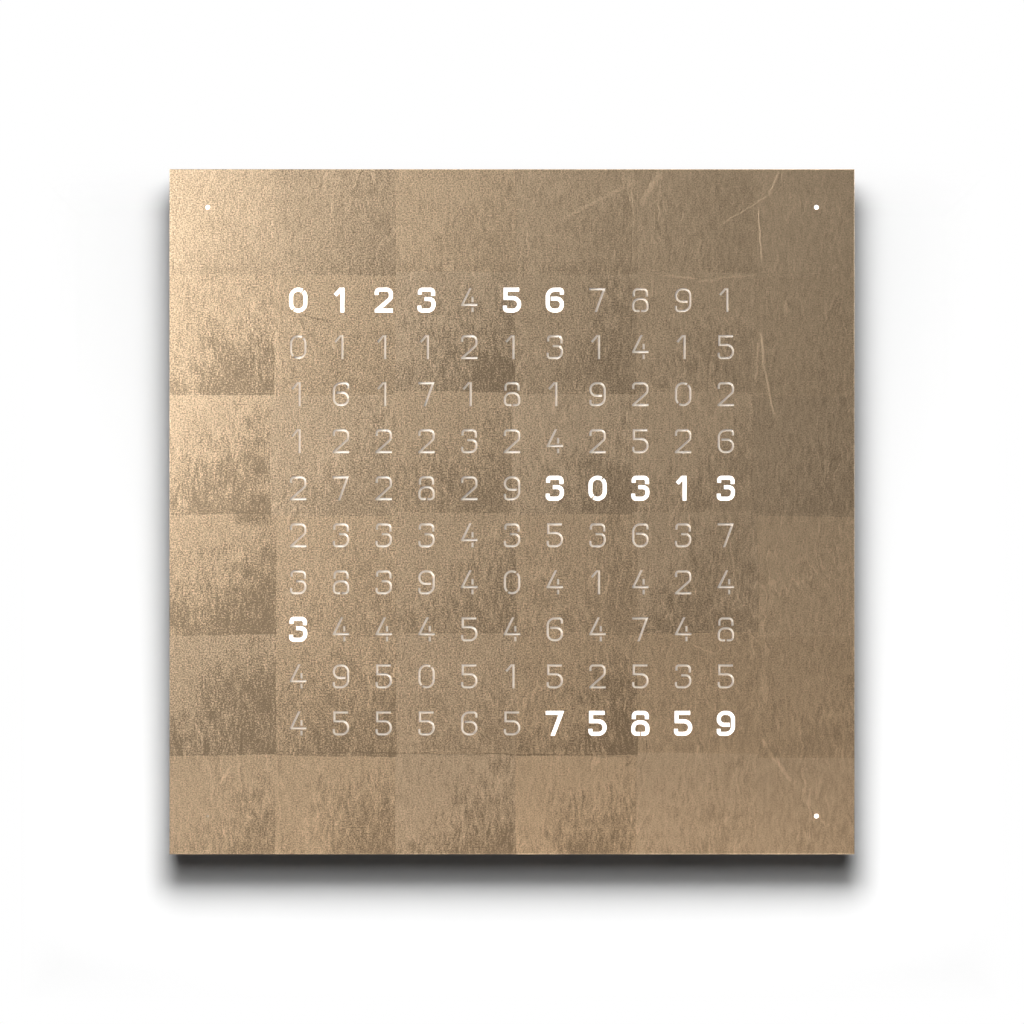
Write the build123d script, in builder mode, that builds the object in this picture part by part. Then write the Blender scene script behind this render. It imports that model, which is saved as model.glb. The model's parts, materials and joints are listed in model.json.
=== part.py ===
from build123d import *

import os
from math import atan2, degrees, hypot

# A square wall word clock: a milled fibreboard tray that hangs on two keyhole plates, a board of
# light cells under a moulded grid and an opal sheet, and a thin steel cover that magnets hold on.
#
# Millimetres. X runs to the right, Z up and Y towards the wall. The origin is the centre of the
# back face, on the wall. "Depth" is the distance from the wall towards the room, so the plane at
# a depth of 5 is y = -5. Heights are places along Z.

os.makedirs("parts", exist_ok=True)

# ---------------------------------------------------------------------------
# Driving dimensions
# ---------------------------------------------------------------------------

# Front cover
face_size = 450.0  # square
cover_thickness = 2.0
cover_overhang = 2.0  # past the tray, on each side
cover_edge_break = 0.4

# Field of light cells
columns = 11
rows = 10
column_pitch = 28.1
row_pitch = 30.9
field_margin = 3.0  # from the outer cells to the pocket's wall

# Minute dots in the corners
dot_inset = 25.0  # dot's centre from the cover's edges
dot_diameter = 3.0

# Tray
tray_depth = 18.0
rear_chamfer = 6.0
tray_corner_radius = 1.5
rim_width = 14.0  # flat that the cover lies on
ledge_width = 4.0  # under the diffuser's edge
cutter_radius = 3.0
board_seat = 6.5  # depth of the main pocket's floor
deep_floor = 5.0  # depth of the floor of grooves and electronics pockets

# Diffuser
diffuser_thickness = 1.0
diffuser_top_gap = 0.2
diffuser_corner_cut = 1.5  # clears the rounds that the cutter leaves

# Boards and what is on them
board_thickness = 1.6
light_package = 5.0
light_package_height = 1.6
light_package_taper = 8.0

# Light grid
cell_wall = 1.2  # at the front
cell_draft = 3.0  # degrees
grid_outer_wall = 1.6
grid_flange_thickness = 2.0
grid_ear_width = 10.0
grid_ear_reach = 8.0  # outwards from the main pocket's wall
grid_ear_spacing = 156.0

# Corner light cups
cup_size = 8.6
cup_base_opening = 6.4
cup_draft = 8.0  # degrees

# Controller
controller_length = 104.0
controller_width = 24.0
controller_spacer_height = 2.5
spacer_width = 6.0
chip_size = 12.0
chip_height = 1.6
driver_width = 7.5
driver_length = 18.0
driver_height = 2.5
driver_pitch = 10.0
capacitor_radius = 3.15
capacitor_height = 5.4
crystal_width = 4.5
crystal_length = 11.0
crystal_height = 3.5
cell_radius = 6.25
cell_height = 2.0
holder_size = 15.0
holder_base = 0.8
holder_wall = 1.0
header_width = 6.0
header_length = 6.0
header_height = 5.4

# Places along the controller, from its centre
cell_x = -32.0
crystal_x = -16.0
chip_x = -5.0
driver_x = 14.0
capacitor_x = 29.5
button_header_x = -47.5
power_header_x = 44.0

# Flat cables
ribbon_width = 20.0
ribbon_thickness = 1.2
ribbon_x = 5.0
ribbon_reach = 16.0  # under the main board
under_header_depth = 4.0
under_header_inset = 1.2  # from the controller's upper edge
flat_lead_width = 3.9
flat_lead_thickness = 1.3
flat_lead_reach = 8.0  # under the main board

# Power inlet for a 5.5 x 2.1 mm plug
socket_x = 107.0
socket_width = 9.0
socket_height = 10.2
socket_length = 14.0
socket_axis_height = 5.6  # from its board
socket_bore_radius = 3.15
socket_bore_depth = 9.5
socket_pin_radius = 1.05
socket_pin_length = 9.0
plug_channel_width = 13.0
plug_channel_depth = 10.4
socket_back_gap = 1.2  # from the wall plane
power_board_inset = 40.0  # its middle, from the tray's lower edge
power_board_length = 29.0
power_board_width = 20.0
power_header_length = 4.0
power_header_width = 5.0
power_header_height = 1.9

# Push buttons in the lower edge
button_x = -126.0
button_pitch = 16.0
button_depth = 11.0
button_radius = 2.8
button_proud = 1.0
button_travel = 0.8
button_flange_radius = 3.7
button_flange_thickness = 1.0
stem_width = 3.0  # square
stem_length = 3.0
stem_free_length = 1.0
switch_width = 6.0
switch_depth = 6.0
button_board_back = 7.0
button_board_length = 50.0
button_board_width = 14.0
button_board_front_gap = 0.2  # from the board's edge to the switches' faces
button_header_inset = 3.5
button_header_length = 5.0
button_header_height = 4.4

# Light sensor in the upper edge
sensor_x = 110.0
sensor_depth = 11.0
sensor_board_width = 13.4
sensor_board_length = 15.4
sensor_width = 4.5
sensor_body_length = 4.0
sensor_body_height = 5.5
sensor_to_window = 1.0
window_radius = 2.0

# Radio antenna
antenna_x = -20.0
antenna_depth = 10.5
antenna_pocket_length = 66.0
antenna_pocket_width = 16.0
antenna_bar_length = 60.0
antenna_bar_width = 8.0
antenna_bar_thickness = 4.0
antenna_coil_length = 22.0
antenna_coil_wall = 1.0
antenna_clip_spacing = 48.0
antenna_clip_length = 5.0
antenna_clip_width = 11.0

# Magnets
magnet_radius = 5.0
magnet_thickness = 3.0
cover_disc_thickness = 1.5
magnet_air_gap = 0.3

# Keyhole hangers
hanger_inset = 73.0  # plate's middle from the tray's side
hanger_width = 40.0
hanger_height = 30.0
hanger_thickness = 2.0
hanger_corner_cut = 1.5
hanger_top_inset = 11.0  # from the tray's upper edge
keyhole_entry_radius = 5.0
keyhole_slot_width = 5.2
keyhole_slot_rise = 10.0
keyhole_entry_lift = 8.0  # above the plate's lower edge
keyhole_cavity_depth = 6.0
keyhole_cavity_margin = 1.4
hanger_screw_spacing = 29.0
hanger_hole_radius = 1.8
hanger_countersink_radius = 3.6

# Clearances
fit_gap = 0.3  # loose pieces in their pockets
slide_gap = 0.2  # moving pieces in their guides
pocket_gap = 1.0  # around boards
clip_gap = 0.05

# ---------------------------------------------------------------------------
# Derived sizes and places
# ---------------------------------------------------------------------------

tray_size = face_size - 2 * cover_overhang
tray_half = tray_size / 2
rebate_half = tray_half - rim_width
pocket_limit = rebate_half - ledge_width
diffuser_front = tray_depth - diffuser_top_gap
diffuser_back = diffuser_front - diffuser_thickness
board_front = board_seat + board_thickness

main_pocket_width = columns * column_pitch + 2 * field_margin
main_pocket_height = rows * row_pitch + 2 * field_margin
main_board_width = main_pocket_width - 2 * fit_gap
main_board_height = main_pocket_height - 2 * fit_gap
flange_front = board_front + grid_flange_thickness

ear_z = grid_ear_spacing / 2
ear_places = [(sx * main_pocket_width / 2, sz * ear_z) for sx in (-1, 1) for sz in (-1, 1)]

dot_offset = face_size / 2 - dot_inset
dot_places = [(sx * dot_offset, sz * dot_offset) for sx in (-1, 1) for sz in (-1, 1)]

magnet_offset = tray_half - rim_width / 2
magnet_places = [(sx * magnet_offset, sz * magnet_offset) for sx in (-1, 1) for sz in (-1, 1)]
magnet_bore_radius = magnet_radius + fit_gap
magnet_front = tray_depth - cover_disc_thickness - magnet_air_gap
magnet_floor = magnet_front - magnet_thickness

# One pocket along the bottom holds the controller and the button board
lower_pocket_width = controller_width + 2 * pocket_gap
controller_z = -pocket_limit + lower_pocket_width / 2
controller_back = deep_floor + controller_spacer_height
controller_front = controller_back + board_thickness
power_header_z = controller_z + header_length / 2

# The ribbon runs from a header under the controller to the back of the main board
ribbon_top = -main_pocket_height / 2 + ribbon_reach
ribbon_bottom = controller_z + controller_width / 2 - under_header_inset - under_header_depth

# Power inlet: its board keeps its distance from the lower edge, and stays under the main pocket
power_board_z = -max(
    tray_half - power_board_inset,
    main_pocket_height / 2 + pocket_gap + power_board_width / 2,
)
power_board_back = socket_back_gap + socket_height
power_board_front = power_board_back + board_thickness
socket_mouth_z = power_board_z - power_board_width / 2
socket_axis_depth = power_board_back - socket_axis_height
socket_bore_floor_z = socket_mouth_z + socket_bore_depth
inlet_header_x = socket_x - power_board_length / 2 + power_header_length / 2 + pocket_gap
power_lead_back = power_board_front + slide_gap
power_lead_start = power_header_x + header_width / 2
power_lead_end = inlet_header_x - power_header_length / 2

# Buttons: the flange rests on the inner end of its bore
button_places = {
    "hour": button_x - button_pitch,
    "minute": button_x,
    "mode": button_x + button_pitch,
}
button_board_front = button_board_back + board_thickness
switch_height = 2 * (button_depth - button_board_front)
stem_start_z = -pocket_limit + button_flange_thickness
switch_face_z = stem_start_z + stem_free_length
switch_bore_depth = stem_length - stem_free_length + button_travel + fit_gap
button_board_z = switch_face_z - button_board_front_gap + button_board_width / 2
lower_pocket_left = button_x - button_board_length / 2 - pocket_gap
lower_pocket_right = socket_x - power_board_length / 2
board_header_x = button_x + button_board_length / 2 - button_header_inset
button_lead_start = board_header_x + button_header_length / 2
button_lead_end = button_header_x - header_width / 2
button_lead_back = controller_front + 2 * slide_gap

# Sensor and antenna
sensor_pocket_width = sensor_board_width + 2 * fit_gap
sensor_pocket_length = sensor_board_length + 2 * fit_gap
sensor_board_z = pocket_limit - sensor_pocket_length / 2
sensor_body_z = pocket_limit - sensor_to_window - sensor_body_length / 2
sensor_lead_top = sensor_board_z
antenna_z = pocket_limit - antenna_pocket_width / 2 - ledge_width
antenna_bar_back = antenna_depth - antenna_bar_thickness / 2
antenna_bar_front = antenna_depth + antenna_bar_thickness / 2
antenna_lead_top = antenna_z - antenna_bar_width / 2 - antenna_coil_wall - fit_gap
lead_bottom = main_pocket_height / 2 - flat_lead_reach

# Leads start under the main board, and those of the dots run from its corners
lead_groove_width = flat_lead_width + 2 * fit_gap
corner_x = main_pocket_width / 2 - flat_lead_reach
corner_z = main_pocket_height / 2 - flat_lead_reach

# Hangers
hanger_offset = tray_half - hanger_inset
hanger_places = {"left_hanger": -hanger_offset, "right_hanger": hanger_offset}
hanger_z = tray_half - hanger_top_inset - hanger_height / 2
keyhole_entry_z = hanger_z - hanger_height / 2 + keyhole_entry_lift
keyhole_slot_z = keyhole_entry_z + keyhole_slot_rise
keyhole_cavity_radius = keyhole_entry_radius + keyhole_cavity_margin

# ---------------------------------------------------------------------------
# Shared helpers
# ---------------------------------------------------------------------------


def at_depth(depth):
    """Sketch plane at a depth: sketch x is X, sketch y is Z, and extrusions run to the room."""
    return Plane.XZ.offset(depth)


def finish(part, label):
    """Labels a finished piece and writes its STEP file."""
    part.part.label = label
    export_step(part.part, f"parts/{label}.step")


def slab(places, width, height, back, front):
    """Equal flat blocks at the given X and Z places, from one depth to another."""
    with BuildPart() as block:
        with BuildSketch(at_depth(back)):
            with Locations(*places):
                Rectangle(width, height)
        extrude(amount=front - back)
    return block


def discs(places, radius, back, front):
    """Equal round blocks at the given X and Z places, from one depth to another."""
    with BuildPart() as block:
        with BuildSketch(at_depth(back)):
            with Locations(*places):
                Circle(radius)
        extrude(amount=front - back)
    return block


def corner_strips(width, spare):
    """Sketches four strips, from under the main board's corners to the dots, spare longer at each end."""
    run_x = dot_offset - corner_x
    run_z = dot_offset - corner_z
    slope = degrees(atan2(run_z, run_x))
    for side in (-1, 1):
        for end in (-1, 1):
            with Locations((side * (corner_x + run_x / 2), end * (corner_z + run_z / 2))):
                Rectangle(hypot(run_x, run_z) + 2 * spare, width, rotation=side * end * slope)


# ---------------------------------------------------------------------------
# Tray: milled from one board, pockets from the front, hangers and plug channel from the back
# ---------------------------------------------------------------------------

with BuildPart() as body_tray:
    with BuildSketch(at_depth(0)):
        Rectangle(tray_size, tray_size)
    extrude(amount=tray_depth)
    chamfer(body_tray.faces().sort_by(Axis.Y)[-1].edges(), rear_chamfer)
    fillet(body_tray.edges().filter_by(Axis.Y), tray_corner_radius)

    # Rebate for the diffuser
    with BuildSketch(at_depth(diffuser_back)):
        Rectangle(2 * rebate_half, 2 * rebate_half)
        fillet(vertices(), cutter_radius)
    extrude(amount=tray_depth - diffuser_back, mode=Mode.SUBTRACT)

    # Main pocket, and the seats of the grid's ears beside it
    with BuildSketch(at_depth(board_seat)):
        RectangleRounded(main_pocket_width, main_pocket_height, cutter_radius)
    extrude(amount=diffuser_back - board_seat, mode=Mode.SUBTRACT)
    with BuildSketch(at_depth(board_front)):
        with Locations(*ear_places):
            Rectangle(2 * (grid_ear_reach + fit_gap), grid_ear_width + 2 * fit_gap)
    extrude(amount=diffuser_back - board_front, mode=Mode.SUBTRACT)

    # Pockets for the corner dots
    with BuildSketch(at_depth(board_seat)):
        with Locations(*dot_places):
            Rectangle(cup_size + 2 * fit_gap, cup_size + 2 * fit_gap)
    extrude(amount=diffuser_back - board_seat, mode=Mode.SUBTRACT)

    # Lower pocket for the controller and the buttons, with the ribbon's groove
    with BuildSketch(at_depth(deep_floor)):
        with Locations(((lower_pocket_left + lower_pocket_right) / 2, controller_z)):
            RectangleRounded(
                lower_pocket_right - lower_pocket_left, lower_pocket_width, cutter_radius
            )
        with Locations((ribbon_x, (ribbon_top + ribbon_bottom) / 2)):
            Rectangle(ribbon_width + 2 * fit_gap, ribbon_top - ribbon_bottom + 2 * fit_gap)
    extrude(amount=diffuser_back - deep_floor, mode=Mode.SUBTRACT)

    # Sensor and antenna pockets along the top, with their lead grooves
    with BuildSketch(at_depth(board_seat)):
        with Locations((sensor_x, sensor_board_z)):
            Rectangle(sensor_pocket_width, sensor_pocket_length)
    extrude(amount=diffuser_back - board_seat, mode=Mode.SUBTRACT)
    with BuildSketch(at_depth(deep_floor)):
        with Locations((antenna_x, antenna_z)):
            RectangleRounded(antenna_pocket_length, antenna_pocket_width, cutter_radius)
        with Locations((antenna_x, (lead_bottom + antenna_lead_top) / 2)):
            Rectangle(lead_groove_width, antenna_lead_top - lead_bottom)
        with Locations((sensor_x, (lead_bottom + sensor_lead_top) / 2)):
            Rectangle(lead_groove_width, sensor_lead_top - lead_bottom + 2 * fit_gap)
    extrude(amount=diffuser_back - deep_floor, mode=Mode.SUBTRACT)

    # Diagonal grooves to the corner dots
    with BuildSketch(at_depth(deep_floor)):
        corner_strips(lead_groove_width, fit_gap)
    extrude(amount=diffuser_back - deep_floor, mode=Mode.SUBTRACT)

    # Magnet bores in the rim
    with BuildSketch(at_depth(magnet_floor)):
        with Locations(*magnet_places):
            Circle(magnet_bore_radius)
    extrude(amount=tray_depth - magnet_floor, mode=Mode.SUBTRACT)

    # Power inlet: board pocket from the front, socket well and plug channel from the back
    with BuildSketch(at_depth(power_board_back)):
        with Locations((socket_x, power_board_z)):
            Rectangle(power_board_length + 2 * fit_gap, power_board_width + 2 * fit_gap)
    extrude(amount=diffuser_back - power_board_back, mode=Mode.SUBTRACT)
    with BuildSketch(at_depth(0)):
        with Locations((socket_x, socket_mouth_z)):
            Rectangle(
                socket_width + 2 * fit_gap,
                socket_length + fit_gap,
                align=(Align.CENTER, Align.MIN),
            )
    extrude(amount=power_board_back, mode=Mode.SUBTRACT)
    with BuildSketch(at_depth(0)):
        with Locations((socket_x, socket_mouth_z)):
            Rectangle(
                plug_channel_width, socket_mouth_z + tray_half, align=(Align.CENTER, Align.MAX)
            )
    extrude(amount=plug_channel_depth, mode=Mode.SUBTRACT)

    # Button bores through the lower edge and the window's bore through the upper one
    with BuildSketch(Plane.XY.offset(-tray_half)):
        with Locations(*[(x, -button_depth) for x in button_places.values()]):
            Circle(button_radius + slide_gap)
    extrude(amount=tray_half - pocket_limit, mode=Mode.SUBTRACT)
    with BuildSketch(Plane.XY.offset(pocket_limit)):
        with Locations((sensor_x, -sensor_depth)):
            Circle(window_radius + slide_gap)
    extrude(amount=tray_half - pocket_limit, mode=Mode.SUBTRACT)

    # Recesses for the hanger plates, and the hollow behind each keyhole
    with BuildSketch(at_depth(0)):
        with Locations(*[(x, hanger_z) for x in hanger_places.values()]):
            RectangleRounded(
                hanger_width + 2 * fit_gap,
                hanger_height + 2 * fit_gap,
                cutter_radius,
            )
    extrude(amount=hanger_thickness, mode=Mode.SUBTRACT)
    with BuildSketch(at_depth(hanger_thickness)):
        with Locations(*[(x, (keyhole_entry_z + keyhole_slot_z) / 2) for x in hanger_places.values()]):
            SlotCenterToCenter(keyhole_slot_rise, 2 * keyhole_cavity_radius, rotation=90)
    extrude(amount=keyhole_cavity_depth, mode=Mode.SUBTRACT)

finish(body_tray, "body_tray")

# ---------------------------------------------------------------------------
# Light matrix: board, light packages, moulded grid, diffuser
# ---------------------------------------------------------------------------

led_board = slab([(0, 0)], main_board_width, main_board_height, board_seat, board_front)
finish(led_board, "led_board")

with BuildPart() as matrix_leds:
    with BuildSketch(at_depth(board_front)):
        with GridLocations(column_pitch, row_pitch, columns, rows):
            Rectangle(light_package, light_package)
    extrude(amount=light_package_height, taper=light_package_taper)
finish(matrix_leds, "matrix_leds")

# The grid is one moulding: a flange with screw ears, and walls that thin towards the front
with BuildPart() as light_grid:
    with BuildSketch(at_depth(board_front)):
        Rectangle(main_board_width, main_board_height)
        with Locations(*ear_places):
            Rectangle(2 * grid_ear_reach, grid_ear_width)
    extrude(amount=grid_flange_thickness)
    with BuildSketch(at_depth(flange_front)):
        Rectangle(
            columns * column_pitch + 2 * grid_outer_wall - cell_wall,
            rows * row_pitch + 2 * grid_outer_wall - cell_wall,
        )
    extrude(amount=diffuser_back - flange_front)
    with BuildSketch(at_depth(diffuser_back)):
        with GridLocations(column_pitch, row_pitch, columns, rows):
            Rectangle(column_pitch - cell_wall, row_pitch - cell_wall)
    extrude(amount=board_front - diffuser_back, taper=cell_draft, mode=Mode.SUBTRACT)
finish(light_grid, "light_grid")

with BuildPart() as diffuser:
    with BuildSketch(at_depth(diffuser_back)):
        Rectangle(2 * rebate_half - 2 * fit_gap, 2 * rebate_half - 2 * fit_gap)
        chamfer(vertices(), diffuser_corner_cut)
    extrude(amount=diffuser_thickness)
finish(diffuser, "diffuser")

# ---------------------------------------------------------------------------
# Corner dots: a small board, a light package, a cup that leads the light out, and a lead
# ---------------------------------------------------------------------------

corner_boards = slab(dot_places, cup_size, cup_size, board_seat, board_front)
finish(corner_boards, "corner_boards")

with BuildPart() as corner_leds:
    with BuildSketch(at_depth(board_front)):
        with Locations(*dot_places):
            Rectangle(light_package, light_package)
    extrude(amount=light_package_height, taper=light_package_taper)
finish(corner_leds, "corner_leds")

with BuildPart() as corner_light_cups:
    with BuildSketch(at_depth(board_front)):
        with Locations(*dot_places):
            Rectangle(cup_size, cup_size)
    extrude(amount=diffuser_back - board_front)
    with BuildSketch(at_depth(board_front)):
        with Locations(*dot_places):
            Rectangle(cup_base_opening, cup_base_opening)
    extrude(amount=diffuser_back - board_front, taper=cup_draft, mode=Mode.SUBTRACT)
finish(corner_light_cups, "corner_light_cups")

with BuildPart() as corner_leads:
    with BuildSketch(at_depth(deep_floor)):
        corner_strips(flat_lead_width, 0)
    extrude(amount=flat_lead_thickness)
finish(corner_leads, "corner_leads")

# ---------------------------------------------------------------------------
# Controller: board on spacers, and what is soldered to it
# ---------------------------------------------------------------------------

controller_board = slab(
    [(0, controller_z)], controller_length, controller_width, controller_back, controller_front
)
finish(controller_board, "controller_board")

# Strips under the ends of the controller and of the button board
with BuildPart() as board_spacers:
    for board_x, board_z, length, width, back in (
        (0, controller_z, controller_length, controller_width, controller_back),
        (button_x, button_board_z, button_board_length, button_board_width, button_board_back),
    ):
        with BuildSketch(at_depth(deep_floor)):
            with Locations((board_x, board_z)):
                with GridLocations(length - spacer_width, 0, 2, 1):
                    Rectangle(spacer_width, width)
        extrude(amount=back - deep_floor)
finish(board_spacers, "board_spacers")

controller_chip = slab(
    [(chip_x, controller_z)], chip_size, chip_size, controller_front, controller_front + chip_height
)
finish(controller_chip, "controller_chip")

led_driver_chips = slab(
    [(driver_x + s * driver_pitch / 2, controller_z) for s in (-1, 1)],
    driver_width,
    driver_length,
    controller_front,
    controller_front + driver_height,
)
finish(led_driver_chips, "led_driver_chips")

smoothing_capacitor = discs(
    [(capacitor_x, controller_z)],
    capacitor_radius,
    controller_front,
    controller_front + capacitor_height,
)
finish(smoothing_capacitor, "smoothing_capacitor")

crystal = slab(
    [(crystal_x, controller_z)],
    crystal_width,
    crystal_length,
    controller_front,
    controller_front + crystal_height,
)
finish(crystal, "crystal")

# A clip holder: a base, and a wall at each side of the cell
with BuildPart() as cell_holder:
    with BuildSketch(at_depth(controller_front)):
        with Locations((cell_x, controller_z)):
            Rectangle(holder_size, holder_size)
    extrude(amount=holder_base)
    with BuildSketch(at_depth(controller_front + holder_base)):
        with Locations((cell_x, controller_z)):
            with GridLocations(holder_size - holder_wall, 0, 2, 1):
                Rectangle(holder_wall, holder_size)
    extrude(amount=cell_height)
finish(cell_holder, "cell_holder")

backup_cell = discs(
    [(cell_x, controller_z)],
    cell_radius,
    controller_front + holder_base,
    controller_front + holder_base + cell_height,
)
finish(backup_cell, "backup_cell")

with BuildPart() as board_headers:
    with BuildSketch(at_depth(controller_front)):
        with Locations((button_header_x, controller_z), (power_header_x, power_header_z)):
            Rectangle(header_width, header_length)
    extrude(amount=header_height)
    with BuildSketch(at_depth(power_board_front)):
        with Locations((inlet_header_x, power_header_z)):
            Rectangle(power_header_length, power_header_width)
    extrude(amount=power_header_height)
    with BuildSketch(at_depth(button_board_front)):
        with Locations((board_header_x, controller_z)):
            Rectangle(button_header_length, header_length)
    extrude(amount=button_header_height)
    # Under the controller, for the ribbon
    with BuildSketch(at_depth(deep_floor + slide_gap)):
        with Locations((ribbon_x, ribbon_bottom)):
            Rectangle(ribbon_width, under_header_depth, align=(Align.CENTER, Align.MAX))
    extrude(amount=controller_spacer_height - slide_gap)
finish(board_headers, "board_headers")

ribbon_cable = slab(
    [(ribbon_x, (ribbon_top + ribbon_bottom) / 2)],
    ribbon_width,
    ribbon_top - ribbon_bottom,
    deep_floor,
    deep_floor + ribbon_thickness,
)
finish(ribbon_cable, "ribbon_cable")

# ---------------------------------------------------------------------------
# Power inlet
# ---------------------------------------------------------------------------

power_board = slab(
    [(socket_x, power_board_z)],
    power_board_length,
    power_board_width,
    power_board_back,
    power_board_front,
)
finish(power_board, "power_board")

with BuildPart() as dc_socket:
    with BuildSketch(Plane.XY.offset(socket_mouth_z)):
        with Locations((socket_x, -power_board_back + socket_height / 2)):
            Rectangle(socket_width, socket_height)
    extrude(amount=socket_length)
    with BuildSketch(Plane.XY.offset(socket_mouth_z)):
        with Locations((socket_x, -socket_axis_depth)):
            Circle(socket_bore_radius)
    extrude(amount=socket_bore_depth, mode=Mode.SUBTRACT)
finish(dc_socket, "dc_socket")

with BuildPart() as dc_socket_pin:
    with BuildSketch(Plane.XY.offset(socket_bore_floor_z)):
        with Locations((socket_x, -socket_axis_depth)):
            Circle(socket_pin_radius)
    extrude(amount=-socket_pin_length)
finish(dc_socket_pin, "dc_socket_pin")

power_leads = slab(
    [((power_lead_start + power_lead_end) / 2, power_header_z)],
    power_lead_end - power_lead_start,
    flat_lead_width,
    power_lead_back,
    power_lead_back + flat_lead_thickness,
)
finish(power_leads, "power_leads")

# ---------------------------------------------------------------------------
# Push buttons: switches on a board, and for each a plunger with its switch's stem
# ---------------------------------------------------------------------------

button_board = slab(
    [(button_x, button_board_z)],
    button_board_length,
    button_board_width,
    button_board_back,
    button_board_front,
)
finish(button_board, "button_board")

with BuildPart() as button_switches:
    with BuildSketch(at_depth(button_board_front)):
        with Locations(*[(x, switch_face_z + switch_depth / 2) for x in button_places.values()]):
            Rectangle(switch_width, switch_depth)
    extrude(amount=switch_height)
    with BuildSketch(Plane.XY.offset(switch_face_z)):
        with Locations(*[(x, -button_depth) for x in button_places.values()]):
            Rectangle(stem_width + 2 * slide_gap, stem_width + 2 * slide_gap)
    extrude(amount=switch_bore_depth, mode=Mode.SUBTRACT)
finish(button_switches, "button_switches")

button_leads = slab(
    [((button_lead_start + button_lead_end) / 2, controller_z)],
    button_lead_end - button_lead_start,
    flat_lead_width,
    button_lead_back,
    button_lead_back + flat_lead_thickness,
)
finish(button_leads, "button_leads")

for button_name, place_x in button_places.items():
    # Turned profile: flange that stops it in the bore, and shaft
    tip_z = -tray_half - button_proud
    with BuildPart() as button:
        with BuildSketch(Plane(origin=(place_x, -button_depth, 0), z_dir=(0, -1, 0), x_dir=(1, 0, 0))):
            with BuildLine():
                Polyline(
                    (0, stem_start_z),
                    (button_flange_radius, stem_start_z),
                    (button_flange_radius, -pocket_limit),
                    (button_radius, -pocket_limit),
                    (button_radius, tip_z),
                    (0, tip_z),
                    close=True,
                )
            make_face()
        revolve(axis=Axis((place_x, -button_depth, 0), (0, 0, 1)))
    finish(button, f"{button_name}_button")

    with BuildPart() as stem:
        with BuildSketch(Plane.XY.offset(stem_start_z)):
            with Locations((place_x, -button_depth)):
                Rectangle(stem_width, stem_width)
        extrude(amount=stem_length)
    finish(stem, f"{button_name}_stem")

# ---------------------------------------------------------------------------
# Light sensor and its window
# ---------------------------------------------------------------------------

sensor_board = slab(
    [(sensor_x, sensor_board_z)], sensor_board_width, sensor_board_length, board_seat, board_front
)
finish(sensor_board, "sensor_board")

light_sensor = slab(
    [(sensor_x, sensor_body_z)],
    sensor_width,
    sensor_body_length,
    board_front,
    board_front + sensor_body_height,
)
finish(light_sensor, "light_sensor")

with BuildPart() as sensor_window:
    with BuildSketch(Plane.XY.offset(pocket_limit)):
        with Locations((sensor_x, -sensor_depth)):
            Circle(window_radius)
    extrude(amount=tray_half - pocket_limit)
finish(sensor_window, "sensor_window")

sensor_leads = slab(
    [(sensor_x, (lead_bottom + sensor_lead_top) / 2)],
    flat_lead_width,
    sensor_lead_top - lead_bottom,
    deep_floor,
    deep_floor + flat_lead_thickness,
)
finish(sensor_leads, "sensor_leads")

# ---------------------------------------------------------------------------
# Radio antenna: ferrite bar with a coil, in two clips
# ---------------------------------------------------------------------------

antenna_rod = slab(
    [(antenna_x, antenna_z)],
    antenna_bar_length,
    antenna_bar_width,
    antenna_bar_back,
    antenna_bar_front,
)
finish(antenna_rod, "antenna_rod")

with BuildPart() as antenna_coil:
    with BuildSketch(Plane.YZ.offset(antenna_x - antenna_coil_length / 2)):
        with Locations((-antenna_depth, antenna_z)):
            Rectangle(
                antenna_bar_thickness + 2 * antenna_coil_wall,
                antenna_bar_width + 2 * antenna_coil_wall,
            )
            Rectangle(
                antenna_bar_thickness + 2 * clip_gap,
                antenna_bar_width + 2 * clip_gap,
                mode=Mode.SUBTRACT,
            )
    extrude(amount=antenna_coil_length)
finish(antenna_coil, "antenna_coil")

# Each clip is open towards the room, and the bar lies in its notch
with BuildPart() as antenna_clips:
    with BuildSketch(at_depth(deep_floor)):
        with Locations((antenna_x, antenna_z)):
            with GridLocations(antenna_clip_spacing, 0, 2, 1):
                Rectangle(antenna_clip_length, antenna_clip_width)
    extrude(amount=antenna_bar_front - deep_floor)
    with BuildSketch(at_depth(antenna_bar_back)):
        with Locations((antenna_x, antenna_z)):
            Rectangle(antenna_bar_length, antenna_bar_width + 2 * clip_gap)
    extrude(amount=antenna_bar_thickness, mode=Mode.SUBTRACT)
finish(antenna_clips, "antenna_clips")

antenna_leads = slab(
    [(antenna_x, (lead_bottom + antenna_lead_top) / 2)],
    flat_lead_width,
    antenna_lead_top - lead_bottom,
    deep_floor,
    deep_floor + flat_lead_thickness,
)
finish(antenna_leads, "antenna_leads")

# ---------------------------------------------------------------------------
# Magnets, cover
# ---------------------------------------------------------------------------

body_magnets = discs(magnet_places, magnet_radius, magnet_floor, magnet_front)
finish(body_magnets, "body_magnets")

cover_magnets = discs(magnet_places, magnet_radius, tray_depth - cover_disc_thickness, tray_depth)
finish(cover_magnets, "cover_magnets")

with BuildPart() as front_cover:
    with BuildSketch(at_depth(tray_depth)):
        Rectangle(face_size, face_size)
        with Locations(*dot_places):
            Circle(dot_diameter / 2, mode=Mode.SUBTRACT)
    extrude(amount=cover_thickness)
    rim_edges = front_cover.edges().filter_by(GeomType.LINE).group_by(Axis.Y)[0]
    chamfer(rim_edges, cover_edge_break)
finish(front_cover, "front_cover")

# ---------------------------------------------------------------------------
# Hangers: keyhole plates, countersunk for their screws
# ---------------------------------------------------------------------------

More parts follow.
